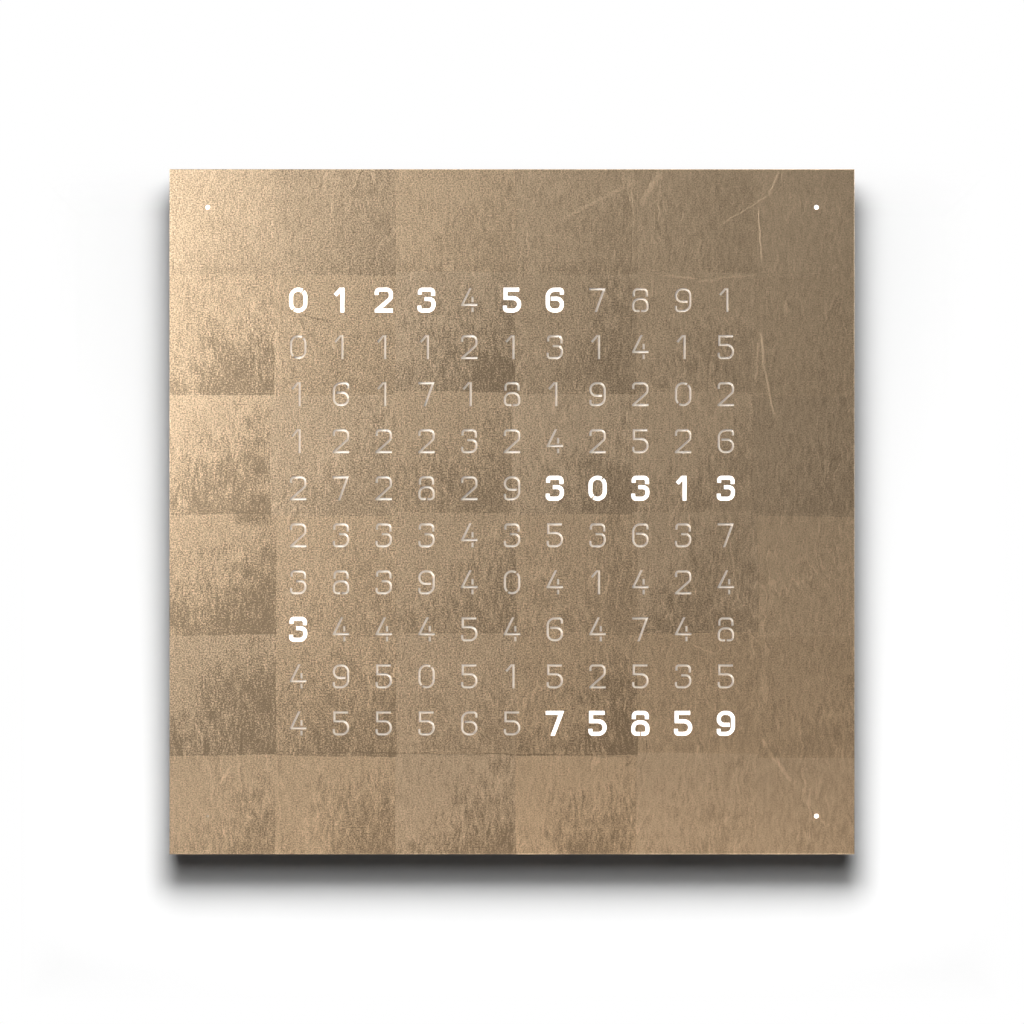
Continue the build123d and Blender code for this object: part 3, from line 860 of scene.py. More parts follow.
@dataclass(frozen=True)
class GoldLeaf(Finish):
    """Metal leaf laid in squares that overlap, rubbed and creased, over grained steel.

    Sizes are in millimetres. Tones, swings and shares say how far a place turns from the shade, at
    0, to the leaf's own colour, at 1.
    """

    shade: Colour = (0.20, 0.145, 0.088)
    steel: tuple[Colour, Colour] = ((0.30, 0.30, 0.31), (0.38, 0.38, 0.39))
    leaf_size: tuple[float, float] = (79.2, 79.0)
    leaf_start: tuple[float, float] = (1.5, -2.5)
    side_overlap: float = 2.4
    lower_overlap: float = 2.0
    overlap_fade: float = 0.5
    seam: float = 0.7
    leaf_tones: tuple[float, float] = (0.47, 0.60)
    seam_tones: tuple[float, float] = (-0.10, 0.04)
    overlap_tone: float = 0.035
    worn_tone: float = -0.13
    grain_swing: float = 1.05
    speck_swing: float = 0.62
    fibre_swing: float = 0.15
    mottle_swing: float = -0.05
    rub_shares: tuple[float, float] = (0.17, 0.44)
    edge_column_rub: float = 0.30
    long_wrinkle_share: float = 0.18
    fine_wrinkle_share: float = 0.11
    upright: Place = (1.0, 0.22, 1.0)
    back_plane: float = -18.05
    worn_spot: Place = (-212.0, -122.0, 0.0)
    relief: float = 0.17
    creases: tuple[Crease, ...] = (
        Crease((98.6, 224.0), (84.8, 201.0), 3.2, 0.30),
        Crease((176.0, 223.0), (169.0, 208.0), 1.6, 0.30),
        Crease((169.0, 208.0), (137.0, 188.0), 1.1, 0.28),
        Crease((161.9, 200.0), (164.5, 164.0), 1.1, 0.42),
        Crease((164.0, 118.0), (166.2, 96.0), 1.7, 0.50),
        Crease((166.2, 96.0), (172.6, 62.0), 1.3, 0.42),
        Crease((161.9, 112.0), (160.4, 86.0), 1.4, 0.36),
        Crease((98.0, 155.2), (122.0, 153.0), 1.0, 0.30),
        Crease((122.0, 151.0), (161.0, 155.8), 1.2, 0.22),
        Crease((163.0, -148.5), (184.0, -178.0), 2.0, 0.28),
        Crease((118.9, -87.5), (132.6, -93.1), 1.0, 0.26),
        Crease((84.0, 218.0), (31.0, 191.0), 2.0, 0.20),
        Crease((-184.4, -166.9), (-192.0, -179.0), 1.4, 0.30),
        Crease((-94.0, -91.8), (-98.6, -99.0), 1.0, 0.30),
        Crease((-138.0, 129.2), (-119.5, 125.4), 0.8, -0.45),
        Crease((-112.0, -158.0), (78.0, -160.6), 1.0, -0.32),
        Crease((18.0, 60.0), (26.0, 34.0), 1.4, 0.22),
        Crease((64.0, -40.0), (58.0, -78.0), 1.2, 0.22),
        Crease((143.0, -20.0), (150.0, -62.0), 1.2, 0.24),
        Crease((118.0, 24.0), (104.0, -6.0), 1.2, 0.22),
        Crease((-183.0, -4.4), (-159.0, -4.4), 6.5, -0.30),
        Crease((-192.0, 55.0), (-196.0, 22.0), 1.4, 0.26),
    )

    def draw(self, sheet: Sheet) -> Look:
        """Draws the leaves, their rubbed and creased parts, and the grain.

        Args:
            sheet: The material's node tree.

        Returns:
            The shader's inputs.
        """
        place = sheet.millimetres()
        x, y, z = place.axes()
        flat = sheet.spot(x, z)
        leaf = self.leaf_at(sheet, flat)
        curled = flat.vector("ADD", self.curl(sheet, flat, 0.06, 8.0))
        tall = curled.vector("MULTIPLY", self.upright)
        fibre = sheet.noise(tall, 0.42, 3.0, 0.65)
        grain = sheet.noise(place, 1.0, 2.0, 0.7)
        speck = sheet.noise(place, 2.3, 1.0, 0.5)
        mottle = sheet.noise(flat, 0.17, 4.0, 0.7, 0.4)
        # Painted sparkle: the grain's and specks' swing in the colour, and the grain and fibre
        # bump, are strongest where the light comes in low, on the left above the lowest row
        low_light = (x.ease(-150.0, 210.0, 1.0, 0.40) * z.ease(-180.0, -100.0, 0.55, 1.0)
                     * z.ease(120.0, 190.0, 1.0, 0.80))
        rub = self.rubbed(sheet, flat, leaf, fibre, grain)
        strip, line = self.overlaps(leaf)
        ridges = self.wrinkles(sheet, flat, tall)
        # The wrinkles also go into the colour: painted highlight along the ridges and painted
        # shadow beside them.
        tone = (leaf.tone.ramp(0.0, 1.0, *self.leaf_tones) - rub + strip * self.overlap_tone
                + line * mottle.ease(0.4, 0.6, *self.seam_tones) + ridges
                + grain.swing(self.grain_swing) * low_light
                + speck.swing(self.speck_swing) * low_light
                + fibre.swing(self.fibre_swing) + mottle.swing(self.mottle_swing)
                + flat.vector("DISTANCE", self.worn_spot).ease(15.0, 90.0, self.worn_tone, 0.0))
        red, green, blue = self.colour
        warm = sheet.mix(leaf.warm, self.colour, (red * 0.985, green * 1.01, blue * 1.05))
        steel = sheet.mix(grain.ease(0.3, 0.7), *self.steel)
        height = (grain * low_light + speck * 0.25 + fibre * low_light * 0.40 + ridges
                  + strip * 0.18)
        return {
            "Base Color": sheet.mix(y.math("GREATER_THAN", self.back_plane),
                                    sheet.mix(tone, self.shade, warm), steel),
            "Roughness": (rub * 0.16 + self.roughness + speck.ramp(0.3, 0.7, -0.05, 0.05)
                          + ridges * -0.08),
            "Normal": sheet.bump(height, self.relief),
            "Metallic": 1.0,
        }

    def leaf_at(self, sheet: Sheet, flat: Result) -> LeafSpot:
        """Finds the leaf that a place lies on. The leaves' edges wave a little and are ragged.

        Args:
            sheet: Where it is drawn.
            flat: The place on the cover.

        Returns:
            The leaf, the place on it, and the leaf's own chances.
        """
        wave = sheet.noise(flat, 0.011, 2.0, 0.5, coloured=True).axes()
        ragged = sheet.noise(flat, 0.5, 3.0, 0.6, coloured=True).axes()
        counts = [(way - start) / size + wave[axis].ramp(0.3, 0.7, -0.012, 0.012)
                  + ragged[axis].swing(0.004)
                  for axis, (way, start, size) in enumerate(
                      zip(flat.axes(), self.leaf_start, self.leaf_size))]
        across = counts[0] + self.shift(sheet, counts[1].math("FLOOR"), 4.0)
        column = across.math("FLOOR")
        up = counts[1] + self.shift(sheet, column, 9.0)
        row = up.math("FLOOR")
        lot = sheet.read("TexWhiteNoise", sheet.spot(column, row), output="Color",
                         noise_dimensions="2D")
        return LeafSpot(column, row, across.math("FRACT"), up.math("FRACT"), *lot.axes())

    def rubbed(self, sheet: Sheet, flat: Result, leaf: LeafSpot, fibre: Result,
               grain: Result) -> Result:
        """Draws where each leaf is rubbed darker: towards its lower right, in fibrous patches.

        Args:
            sheet: Where it is drawn.
            flat: The place on the cover.
            leaf: The leaf there.
            fibre: Upright fibrous noise.
            grain: Fine noise.

        Returns:
            How much the place is darkened.
        """
        soft = sheet.noise(flat, 0.022, 4.0, 0.62, 0.5)
        cloudy = sheet.noise(flat.vector("MULTIPLY", (1.0, 0.5, 1.0)), 0.10, 5.0, 0.72)
        lean = (leaf.across * 0.55 + leaf.up * -0.75 + soft * 1.5 + cloudy * 0.45
                + fibre.swing(-0.40) + grain.swing(-0.30))
        edge_column = leaf.column.math("LESS_THAN", -2.5) * leaf.row.math("COMPARE", -0.5, 1.6)
        strength = leaf.rub.ramp(0.0, 1.0, *self.rub_shares) + edge_column * self.edge_column_rub
        x, z, _ = flat.axes()
        handled = (x.ease(70.0, 190.0, 1.0, 0.5) * z.ease(145.0, 170.0, 1.0, 0.45)
                   * abs(x).ease(40.0, 130.0, 1.25, 1.0))
        return lean.ease(0.62, 1.50) * strength * handled

    def overlaps(self, leaf: LeafSpot) -> tuple[Result, Result]:
        """Draws the overlap along each leaf's right and lower sides.

        Args:
            leaf: The leaf and the place on it.

        Returns:
            The strip where two leaves lie on each other, and the fine line where it ends.
        """
        side_gap, lower_gap = (1.0 - leaf.across) * self.leaf_size[0], leaf.up * self.leaf_size[1]
        side, lower = (gap.ease(width, width + self.overlap_fade, 1.0, 0.0) for gap, width in (
            (side_gap, self.side_overlap), (lower_gap, self.lower_overlap)))
        line = side_gap.math("MINIMUM", lower_gap).ease(0.0, self.seam, 1.0, 0.0)
        return side.math("MAXIMUM", lower), line

    def wrinkles(self, sheet: Sheet, flat: Result, tall: Result) -> Result:
        """Draws the wrinkles: long upright ridges, fine ones between them, and single creases.

        Args:
            sheet: Where it is drawn.
            flat: The place on the cover.
            tall: The same place, curled and packed upright.

        Returns:
            How far the leaf stands up, with a dark side below 0. In the colour the ridges are
            painted highlights and their dark sides painted shadows.
        """
        patches = sheet.noise(flat, 0.016, 3.0, 0.6).ease(0.44, 0.60)
        fine_patches = sheet.noise(flat, 0.027, 2.0, 0.5, 0.3).ease(0.46, 0.58)
        long = self.ridge(sheet.noise(tall, 0.034, 4.0, 0.6, 0.4), 0.015)
        fine = self.ridge(sheet.noise(tall, 0.11, 3.0, 0.6, 0.5), 0.032)
        ridges = (long * patches * self.long_wrinkle_share
                  + fine * fine_patches * self.fine_wrinkle_share)
        bent = flat.vector("ADD", self.curl(sheet, flat, 0.16, 3.2))
        # Each crease is added to the colour as well: a painted highlight where its strength is
        # above 0, darker where it is below 0.
        for crease in self.creases:
            drawn = sheet.group(leaf_crease, place=bent, start=(*crease.start, 0.0),
                                end=(*crease.end, 0.0), width=crease.width)
            ridges += drawn["line"] * crease.strength
        return ridges

    @staticmethod
    def shift(sheet: Sheet, number: Result, seed: float) -> Result:
        """Shifts each row or column of leaves by its own share of a leaf, up to 0.03 either way."""
        return sheet.read("TexWhiteNoise", sheet.spot(number, seed),
                          noise_dimensions="2D").ramp(0.0, 1.0, -0.03, 0.03)

    @staticmethod
    def curl(sheet: Sheet, flat: Result, scale: float, reach: float) -> Result:
        """Gives a swirling shift, by swirls per millimetre and a reach in millimetres."""
        swirl = sheet.noise(flat, scale, 2.0, 0.6, coloured=True)
        return swirl.vector("SUBTRACT", (0.5, 0.5, 0.5)).vector("MULTIPLY", (reach, reach, 0.0))

    @staticmethod
    def ridge(noise: Result, width: float) -> Result:
        """Draws a thin line where noise crosses its middle, a painted highlight, with a fainter
        dark one beside it, its painted shadow.
        """
        beside = abs(noise - (0.5 + 1.7 * width)).ease(0.0, 1.2 * width, -0.6, 0.0)
        return abs(noise - 0.5).ease(0.0, width, 1.0, 0.0) + beside


class Finishes(Enum):
    """The clock's finishes, by the record's material slots."""

    gold_leaf = GoldLeaf("leaf_over_steel", (0.83, 0.61, 0.388), 0.43)
    opal_acrylic = OpalSheet("opal_sheet", (0.78, 0.75, 0.70), 0.42)
    lacquered_board = Moulded("lacquer_over_fibreboard", (0.032, 0.029, 0.027), 0.36, depth=0.03,
                              marks=0.06, coat=0.25)
    white_moulding = Moulded("white_moulding_plastic", (0.80, 0.80, 0.78), 0.55)
    circuit_board = PrintedBoard("white_masked_board", (0.74, 0.76, 0.74), 0.4)
    dark_circuit_board = PrintedBoard("green_masked_board", (0.018, 0.12, 0.06), 0.38,
                                      track=(0.05, 0.26, 0.13), pitch=1.27)
    light_package = LightPackageFinish("light_package_case", (0.88, 0.88, 0.85), 0.5)
    chip_plastic = Moulded("chip_moulding", (0.022, 0.022, 0.024), 0.6)
    steel_zinc = BareMetal("zinc_plated_steel", (0.60, 0.61, 0.63), 0.34, stain=(0.42, 0.43, 0.44))
    nickel = BareMetal("nickel_plate", (0.66, 0.64, 0.60), 0.18, stain=(0.5, 0.48, 0.44))
    aluminium_can = BareMetal("aluminium_can_metal", (0.74, 0.75, 0.76), 0.3, stain=(0.6, 0.6, 0.6))
    header_plastic = Moulded("header_moulding", (0.78, 0.74, 0.62), 0.5)
    lead_insulation = RibbedLead("lead_insulation_grey", (0.34, 0.35, 0.37), 0.5)
    black_plastic = Moulded("black_moulding", (0.028, 0.028, 0.03), 0.42, depth=0.015)
    clear_acrylic = ClearPlastic("clear_window", (0.92, 0.95, 0.97), 0.06)
    ferrite = Moulded("ferrite_bar", (0.05, 0.048, 0.05), 0.65, depth=0.05)
    copper_winding = Wound("copper_turns", (0.62, 0.27, 0.12), 0.35)
    brass_pin = BareMetal("brass_turned", (0.76, 0.58, 0.28), 0.25, stain=(0.5, 0.36, 0.16))


# Numerals. A place on the cover is one complex number: X is its real part and Z the other.

Line = list[complex]
Corner = tuple[float, float, float]  # X and Z as shares of the reach, and how round it is in mm


@dataclass(frozen=True)
class Cut:
    """How wide a numeral is cut. Sizes are in millimetres, over all."""

    height: float
    width: float
    stroke: float
    bridge: float

    @property
    def reach(self) -> complex:
        """Half the width and height between the middles of the strokes."""
        return complex(self.width - self.stroke, self.height - self.stroke) / 2


class Weight(Enum):
    """Numerals in lit cells are cut bolder than the rest."""

    lit = Cut(16.4, 12.0, 2.65, 0.7)
    unlit = Cut(15.8, 10.8, 1.45, 0.95)


@dataclass
class Numerals:
    """Stencil numerals drawn as strokes of one width that never touch each other.

    Sizes are in millimetres. The waist is a share of half the height.
    """

    bowl_round: float = 4.1
    shoulder_round: float = 4.7
    waist: float = 0.1
    steps: int = 7
    sharpest: float = 0.12
    shortest: float = 1e-4

    def strokes(self, digit: str, cut: Cut) -> list[list[Corner]]:
        """Gives the middle lines of a digit's strokes.

        Args:
            digit: One digit.
            cut: How wide it is cut.

        Returns:
            One list of corners for each stroke.
        """
        bowl, shoulder, waist = self.bowl_round, self.shoulder_round, self.waist
        clear = cut.stroke / 2 + cut.bridge
        past_side, past_bar = clear / cut.reach.real, clear / cut.reach.imag
        gap = cut.bridge / 2 / cut.reach.real
        six = [(1, 0.52, 0), (1, 1, shoulder), (-1, 1, shoulder), (-1, -1, bowl), (1, -1, bowl),
               (1, 0.14, bowl), (-1 + past_side, 0.14, 0)]
        shapes = {
            "1": [[(-0.82, 0.46, 0), (0.2, 1.22, 0), (0.2, -1.3, 0)]],
            "2": [[(-1, 0.48, 0), (-1, 1, shoulder), (1, 1, shoulder), (1, 0.18, 3.0),
                   (-1.02, -1, 0), (1.3, -1, 0)]],
            "3": [[(-0.94, 0.52, 0), (-0.94, 1, bowl), (0.94, 1, bowl),
                   (0.94, waist + past_bar, 0)],
                  [(-0.28, waist, 0), (1, waist, bowl), (1, -1, bowl), (-1, -1, bowl),
                   (-1, -0.52, 0)]],
            "4": [[(0.36, 1.35, 0), (-1, -0.44, 0), (1.3, -0.44, 0)],
                  [(0.46, 0.3, 0), (0.46, -0.44 + past_bar, 0)],
                  [(0.46, -0.44 - past_bar, 0), (0.46, -1.3, 0)]],
            "5": [[(1, 1, 0), (-0.92, 1, 0), (-0.92, 0.2, 0), (1, 0.2, bowl), (1, -1, bowl),
                   (-1, -1, bowl), (-1, -0.52, 0)]],
            "6": [six],
            "7": [[(-1.3, 1, 0), (0.92, 1, 0), (-0.42, -1.4, 0)]],
            "8": [[(gap, -1, 0), (1, -1, bowl), (1, waist, bowl), (-1, waist, bowl),
                   (-1, -1, bowl), (-gap, -1, 0)],
                  [(-0.92, waist + past_bar, 0), (-0.92, 1, bowl), (0.92, 1, bowl),
                   (0.92, waist + past_bar, 0)]],
            "9": [[(-x, -z, bend) for x, z, bend in six]],
        }
        return shapes[digit]

    def run(self, corners: list[Corner], reach: complex) -> Line:
        """Draws a middle line with its corners rounded.

        Args:
            corners: The line's corners.
            reach: Half the numeral's width and height.

        Returns:
            Places along the line, in millimetres.
        """
        places = [complex(x * reach.real, z * reach.imag) for x, z, _ in corners]
        line = [places[0]]
        for before, point, after, (_, _, bend) in zip(places, places[1:], places[2:], corners[1:]):
            if bend == 0:
                line.append(point)
                continue
            back, ahead = abs(point - before), abs(after - point)
            into, out = (point - before) / back, (after - point) / ahead
            turn = cmath.phase(out * into.conjugate())
            slope = math.tan(abs(turn) / 2)
            slack = min(bend * slope, 0.499 * back, 0.499 * ahead)
            start = point - slack * into
            centre = start + math.copysign(slack / slope, turn) * 1j * into
            line += [centre + (start - centre) * cmath.rect(1, turn * step / self.steps)
                     for step in range(self.steps + 1)]
        line.append(places[-1])
        return [place for place, after in zip(line, line[1:] + [math.inf])
                if abs(after - place) > self.shortest]

    def band(self, line: Line, half: float) -> Line:
        """Draws the outline of a stroke with square ends.

        Args:
            line: Places along its middle.
            half: Half its width.

        Returns:
            The closed outline.
        """
        left, right = [], []
        for before, place, after in zip(line[:1] + line, line, line[1:] + line[-1:]):
            arms = [(second - first) / abs(second - first)
                    for first, second in ((before, place), (place, after)) if first != second]
            normal = 1j * (arms[0] + arms[-1]) / 2
            shift = normal * half / max(abs(normal) ** 2, self.sharpest)
            left.append(place + shift)
            right.append(place - shift)
        return left + right[::-1]

    @staticmethod
    def trimmed(outline: Line, box: complex) -> Line:
        """Cuts an outline off square where it leaves the numeral's box.

        Args:
            outline: A closed outline.
            box: Half the box's width and height.

        Returns:
            The part inside the box.
        """
        for outward in (-1, 1, -1j, 1j):
            limit = abs(box.real * outward.real) + abs(box.imag * outward.imag)
            kept = []
            for place, after in zip(outline, outline[1:] + outline[:1]):
                depth, next_depth = (limit - (end * outward.conjugate()).real
                                     for end in (place, after))
                if depth >= 0:
                    kept.append(place)
                if depth * next_depth < 0:
                    kept.append(place + depth / (depth - next_depth) * (after - place))
            outline = kept
        return outline

    def ring(self, cut: Cut) -> list[Line]:
        """Draws the nought: a tall ring with a bridge at its upper right and lower left.

        Args:
            cut: How wide it is cut.

        Returns:
            The middle lines of its two halves.
        """
        side, straight = cut.reach.real, 1j * (cut.reach.imag - cut.reach.real)
        bridge, opening = math.radians(52), cut.bridge / 2 / side
        half = []
        for centre, start, sweep, count in (
                (straight, bridge + opening, math.pi - bridge - opening, 3 * self.steps),
                (-straight, math.pi, bridge - opening, self.steps)):
            half += [centre + cmath.rect(side, start + sweep * step / count)
                     for step in range(count + 1)]
        return [half, [-place for place in half]]

    def outlines(self, digit: str, cut: Cut) -> list[Line]:
        """Draws every opening of a digit.

        Args:
            digit: One digit.
            cut: How wide it is cut.

        Returns:
            Closed outlines about the digit's centre, in millimetres.
        """
        if digit == "0":
            lines = self.ring(cut)
        else:
            lines = [self.run(stroke, cut.reach) for stroke in self.strokes(digit, cut)]
        box = complex(cut.width, cut.height) / 2
        return [self.trimmed(self.band(line, cut.stroke / 2), box) for line in lines]


# Sub-assemblies


@dataclass
class Assembly:
    """Pieces that belong together. The nodes named here keep their shape."""

    nodes: tuple[str, ...] = ()

    def dress(self) -> None:
        """Gives each node the finish that its material slot names, and adds what is made here."""
        for name in self.nodes:
            finish = Finishes[SLOTS[name]].value
            for place in frame["nodes"][name].material_slots:
                place.material = finish.material()
            log.info("%s: %s", name, finish.name)
        self.add_pieces()

    def add_pieces(self) -> None:
        """Adds no piece, unless a sub-assembly makes some."""


@dataclass
class Tray(Assembly):
    """The milled tray and the magnets in its rim."""

    nodes: tuple[str, ...] = ("body_tray", "body_magnets")


@dataclass
class LightMatrix(Assembly):
    """Board of lights, the moulded grid over it, the opal sheet, and the corner dots."""

    nodes: tuple[str, ...] = (
        "led_board", "corner_boards", "matrix_leds", "corner_leds", "light_grid",
        "corner_light_cups", "diffuser", "corner_leads",
    )


@dataclass
class Electronics(Assembly):
    """Controller, power inlet, light sensor and radio antenna."""

    nodes: tuple[str, ...] = (
        "controller_board", "power_board", "sensor_board", "board_spacers", "antenna_clips",
        "controller_chip", "led_driver_chips", "smoothing_capacitor", "crystal", "backup_cell",
        "cell_holder", "dc_socket", "board_headers", "dc_socket_pin", "light_sensor",
        "sensor_window", "antenna_rod", "antenna_coil", "ribbon_cable", "power_leads",
        "sensor_leads", "antenna_leads",
    )


@dataclass
class FrontCover(Assembly):
    """The thin steel cover: numerals and minute dots cut through, its front edges broken.

    Sizes are in millimetres.
    """

    nodes: tuple[str, ...] = ("cover_magnets",)
    grid: CellGrid = CellGrid()
    numerals: Numerals = field(default_factory=Numerals)
    dot_radius: float = 1.6
    small_dot_radius: float = 0.9
    edge_break: float = 0.4
    slack: float = 0.01

    def openings(self) -> list[Line]:
        """Draws every opening in the cover.

        Returns:
            Closed outlines on the cover, in millimetres.
        """
        loops = []
        for number, digit in enumerate("".join(str(number) for number in range(60))):
            cell = divmod(number, self.grid.columns)
            weight = Weight.lit if self.grid.is_lit(*cell) else Weight.unlit
            loops += [[self.grid.centre(*cell) + place for place in outline]
                      for outline in self.numerals.outlines(digit, weight.value)]
        for corner in (-1 - 1j, -1 + 1j, 1 - 1j, 1 + 1j):
            radius = self.dot_radius if corner in self.grid.lit_dots else self.small_dot_radius
            loops.append([corner * self.grid.dot_offset + cmath.rect(radius, math.radians(angle))
                          for angle in range(0, 360, 12)])
        return loops

    def build(self) -> Piece:
        """Cuts the cover from a flat outline, and breaks its edges.

        Returns:
            The cover.
        """
        low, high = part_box("front_cover")
        half, thickness = high[0], high[1] - low[1]
        inner = half - self.edge_break * MM
        outline = tune(bpy.data.curves.new("cover_outline", "CURVE"), dimensions="2D",
                       fill_mode="BOTH")
        square = [corner * inner / MM for corner in (-1 - 1j, 1 - 1j, 1 + 1j, -1 + 1j)]
        for loop in (square, *self.openings()):
            spline = outline.splines.new("POLY")
            spline.points.add(len(loop) - 1)
            for point, place in zip(spline.points, loop):
                point.co = (place.real * MM, place.imag * MM, 0.0, 1.0)
            spline.use_cyclic_u = True
        take(add_object("cover_outline", outline))
        bpy.ops.object.convert(target="MESH")
        cover = settle("leafed_cover", rotation_euler=(math.radians(90), 0.0, 0.0),
                       location=(0.0, low[1], 0.0))
        rim = inner - self.slack * MM
        behind = low[1] + self.edge_break / 2 * MM
        with editing(cover):
            bpy.ops.mesh.select_all(action="SELECT")
            extrude(0.0, thickness, 0.0)
            pick(cover, "FACE", lambda face: abs(face.normal.y) < 0.5
                 and max(abs(face.calc_center_median().x), abs(face.calc_center_median().z)) > rim)
            bpy.ops.mesh.bisect(plane_co=(0.0, low[1] + self.edge_break * MM, 0.0),
                                plane_no=(0.0, 1.0, 0.0))
            pick(cover, "VERT", lambda vertex: vertex.co.y > behind
                 and max(abs(vertex.co.x), abs(vertex.co.z)) > rim)
            bpy.ops.transform.resize(value=(half / inner, 1.0, half / inner),
                                     center_override=(0.0, 0.0, 0.0))
        return finish_mesh(cover)

    def add_pieces(self) -> None:
        """Adds the cover."""
        mount_piece(self.build(), "cover", "gold_leaf", "front_cover")


@dataclass
class HangerPlates(Assembly):
    """The two keyhole plates, each held by two countersunk screws.

    Sizes are in millimetres, and the recess is turned by degrees.
    """

    nodes: tuple[str, ...] = ("left_hanger", "right_hanger")
    head_radius: float = 3.35
    neck_radius: float = 1.7
    head_height: float = 1.75
    sink: float = 0.08
    slot_length: float = 3.6
    slot_width: float = 0.75
    slot_depth: float = 1.1
    slot_turn: float = 20.0
    spacing: float = 29.0
    rim: float = 0.35
    crown: float = 0.03
    taper: float = 0.55
    edge_break: float = 0.06

    def first_screw(self, x: float, z: float) -> Piece:
        """Turns one screw head with a cross recess.

        Args:
            x: Place along X, in metres.
            z: Place along Z, in metres.

        Returns:
            The head.
        """
        take()
        middle = -(self.sink + self.head_height / 2) * MM
        bpy.ops.mesh.primitive_cone_add(
            vertices=48, radius1=self.neck_radius * MM, radius2=self.head_radius * MM,
            depth=self.head_height * MM, location=(x, middle, z),
            rotation=(math.radians(-90), 0, 0))
        head = settle("hanger_screw_1")
        outer = -(self.sink + 0.01) * MM
        with editing(head):
            pick(head, "FACE", lambda face: face.calc_center_median().y > outer)
            bpy.ops.mesh.inset(thickness=self.rim * MM)
            bpy.ops.transform.translate(value=(0.0, self.crown * MM, 0.0))
        deep = -(self.sink + self.slot_depth / 2) * MM
        for turn in (self.slot_turn, self.slot_turn + 90.0):
            take()
            bpy.ops.mesh.primitive_cube_add(size=1.0, location=(x, -self.sink * MM, z))
            blade = settle("screw_recess", rotation_euler=(0.0, math.radians(turn), 0.0), scale=(
                self.slot_length * MM, 2 * self.slot_depth * MM, self.slot_width * MM))
            with editing(blade):
                pick(blade, "VERT", lambda vertex: vertex.co.y < deep)
                bpy.ops.transform.resize(value=(self.taper, 1.0, self.taper),
                                         center_override=(x, deep, z))
            apply_modifier(head, "BOOLEAN", operation="DIFFERENCE", solver="EXACT", object=blade)
            bpy.data.objects.remove(blade, do_unlink=True)
        apply_modifier(head, "BEVEL", width=self.edge_break * MM, segments=2, limit_method="ANGLE",
                       angle_limit=math.radians(35))
        return finish_mesh(head, smooth_below=30)

    def add_pieces(self) -> None:
        """Puts in the plates' screws."""
        places = []
        for low, high in map(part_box, self.nodes):
            places += [((low[0] + high[0] + side * self.spacing * MM) / 2, (low[2] + high[2]) / 2)
                       for side in (-1, 1)]
        (x, z), *others = places
        first = self.first_screw(x, z)
        screws = [first] + [
            copy_of(first, f"hanger_screw_{number}", (place[0] - x, 0.0, place[1] - z))
            for number, place in enumerate(others, 2)]
        for screw in screws:
            mount_piece(screw, "case", "steel_zinc")


@dataclass
class PushButtons(Assembly):
    """Three plungers in the lower edge, with their switches and board. Sizes are in millimetres."""

    nodes: tuple[str, ...] = ("hour_stem", "minute_stem", "mode_stem", "button_switches",
                              "button_board", "button_leads")
    flange_thickness: float = 1.0
    flange_reach: float = 0.9
    boss_radius: float = 2.3
    boss_height: float = 0.1
    tip_round: float = 0.55
    tip_rim: float = 0.25
    dish: float = 0.22
    dish_step: float = 0.45

    def first_button(self, node: str) -> Piece:
        """Turns one plunger: shaft, flange with a low boss that clears the board, and a dished tip.

        Args:
            node: The node whose place and size it takes.

        Returns:
            The plunger.
        """
        low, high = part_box(node)
        x, y = (low[0] + high[0]) / 2, (low[1] + high[1]) / 2
        flange_radius = (high[0] - low[0]) / 2
        radius = flange_radius - self.flange_reach * MM
        shoulder = high[2] - self.flange_thickness * MM
        tip = low[2] + 0.1 * MM
        take()
        bpy.ops.mesh.primitive_cylinder_add(vertices=48, radius=radius, depth=shoulder - low[2],
                                            location=(x, y, (low[2] + shoulder) / 2))
        plunger = settle(f"{node}_plunger")
        with editing(plunger):
            pick(plunger, "FACE", lambda face: face.normal.z > 0.5)
            extrude(0.0, 0.0, 0.0)
            grown = flange_radius / radius
            bpy.ops.transform.resize(value=(grown, grown, 1.0), center_override=(x, y, shoulder))
            extrude(0.0, 0.0, (self.flange_thickness - self.boss_height) * MM)
            bpy.ops.mesh.inset(thickness=flange_radius - self.boss_radius * MM)
            extrude(0.0, 0.0, self.boss_height * MM)
            pick(plunger, "FACE", lambda face: face.normal.z < -0.5
                 and face.calc_center_median().z < tip)
            bpy.ops.mesh.bevel(offset=self.tip_round * MM, segments=4, affect="EDGES")
            pick(plunger, "FACE", lambda face: face.normal.z < -0.9 and len(face.verts) > 20
                 and face.calc_center_median().z < tip)
            bpy.ops.mesh.inset(thickness=self.tip_rim * MM)
            for share in (0.35, 0.65):
                bpy.ops.mesh.inset(thickness=self.dish_step * MM)
                bpy.ops.transform.translate(value=(0.0, 0.0, share * self.dish * MM))
        return finish_mesh(plunger, smooth_below=32)

    def add_pieces(self) -> None:
        """Makes the three plungers."""
        first = self.first_button("hour_button")
        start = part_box("hour_button")[0][0]
        plungers = {"hour_button": first}
        for node in ("minute_button", "mode_button"):
            plungers[node] = copy_of(first, f"{node}_plunger",
                                     (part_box(node)[0][0] - start, 0.0, 0.0))
        for node, plunger in plungers.items():
            mount_piece(plunger, node.replace("button", "key"), "black_plastic", node)


# Studio


class Lit(Enum):
    """What a lamp shines on: the whole clock, the wall alone, or the opal sheet alone."""

    clock = "clock"
    wall = "wall"
    sheet = "sheet"


@dataclass(frozen=True)
class Lamp:
    """An area lamp. Places and sizes are in metres, power in watts."""

    name: str
    place: Place
    aim: Place
    size: tuple[float, float]
    power: float
    colour: Colour = (1.0, 1.0, 1.0)
    lights: Lit = Lit.clock


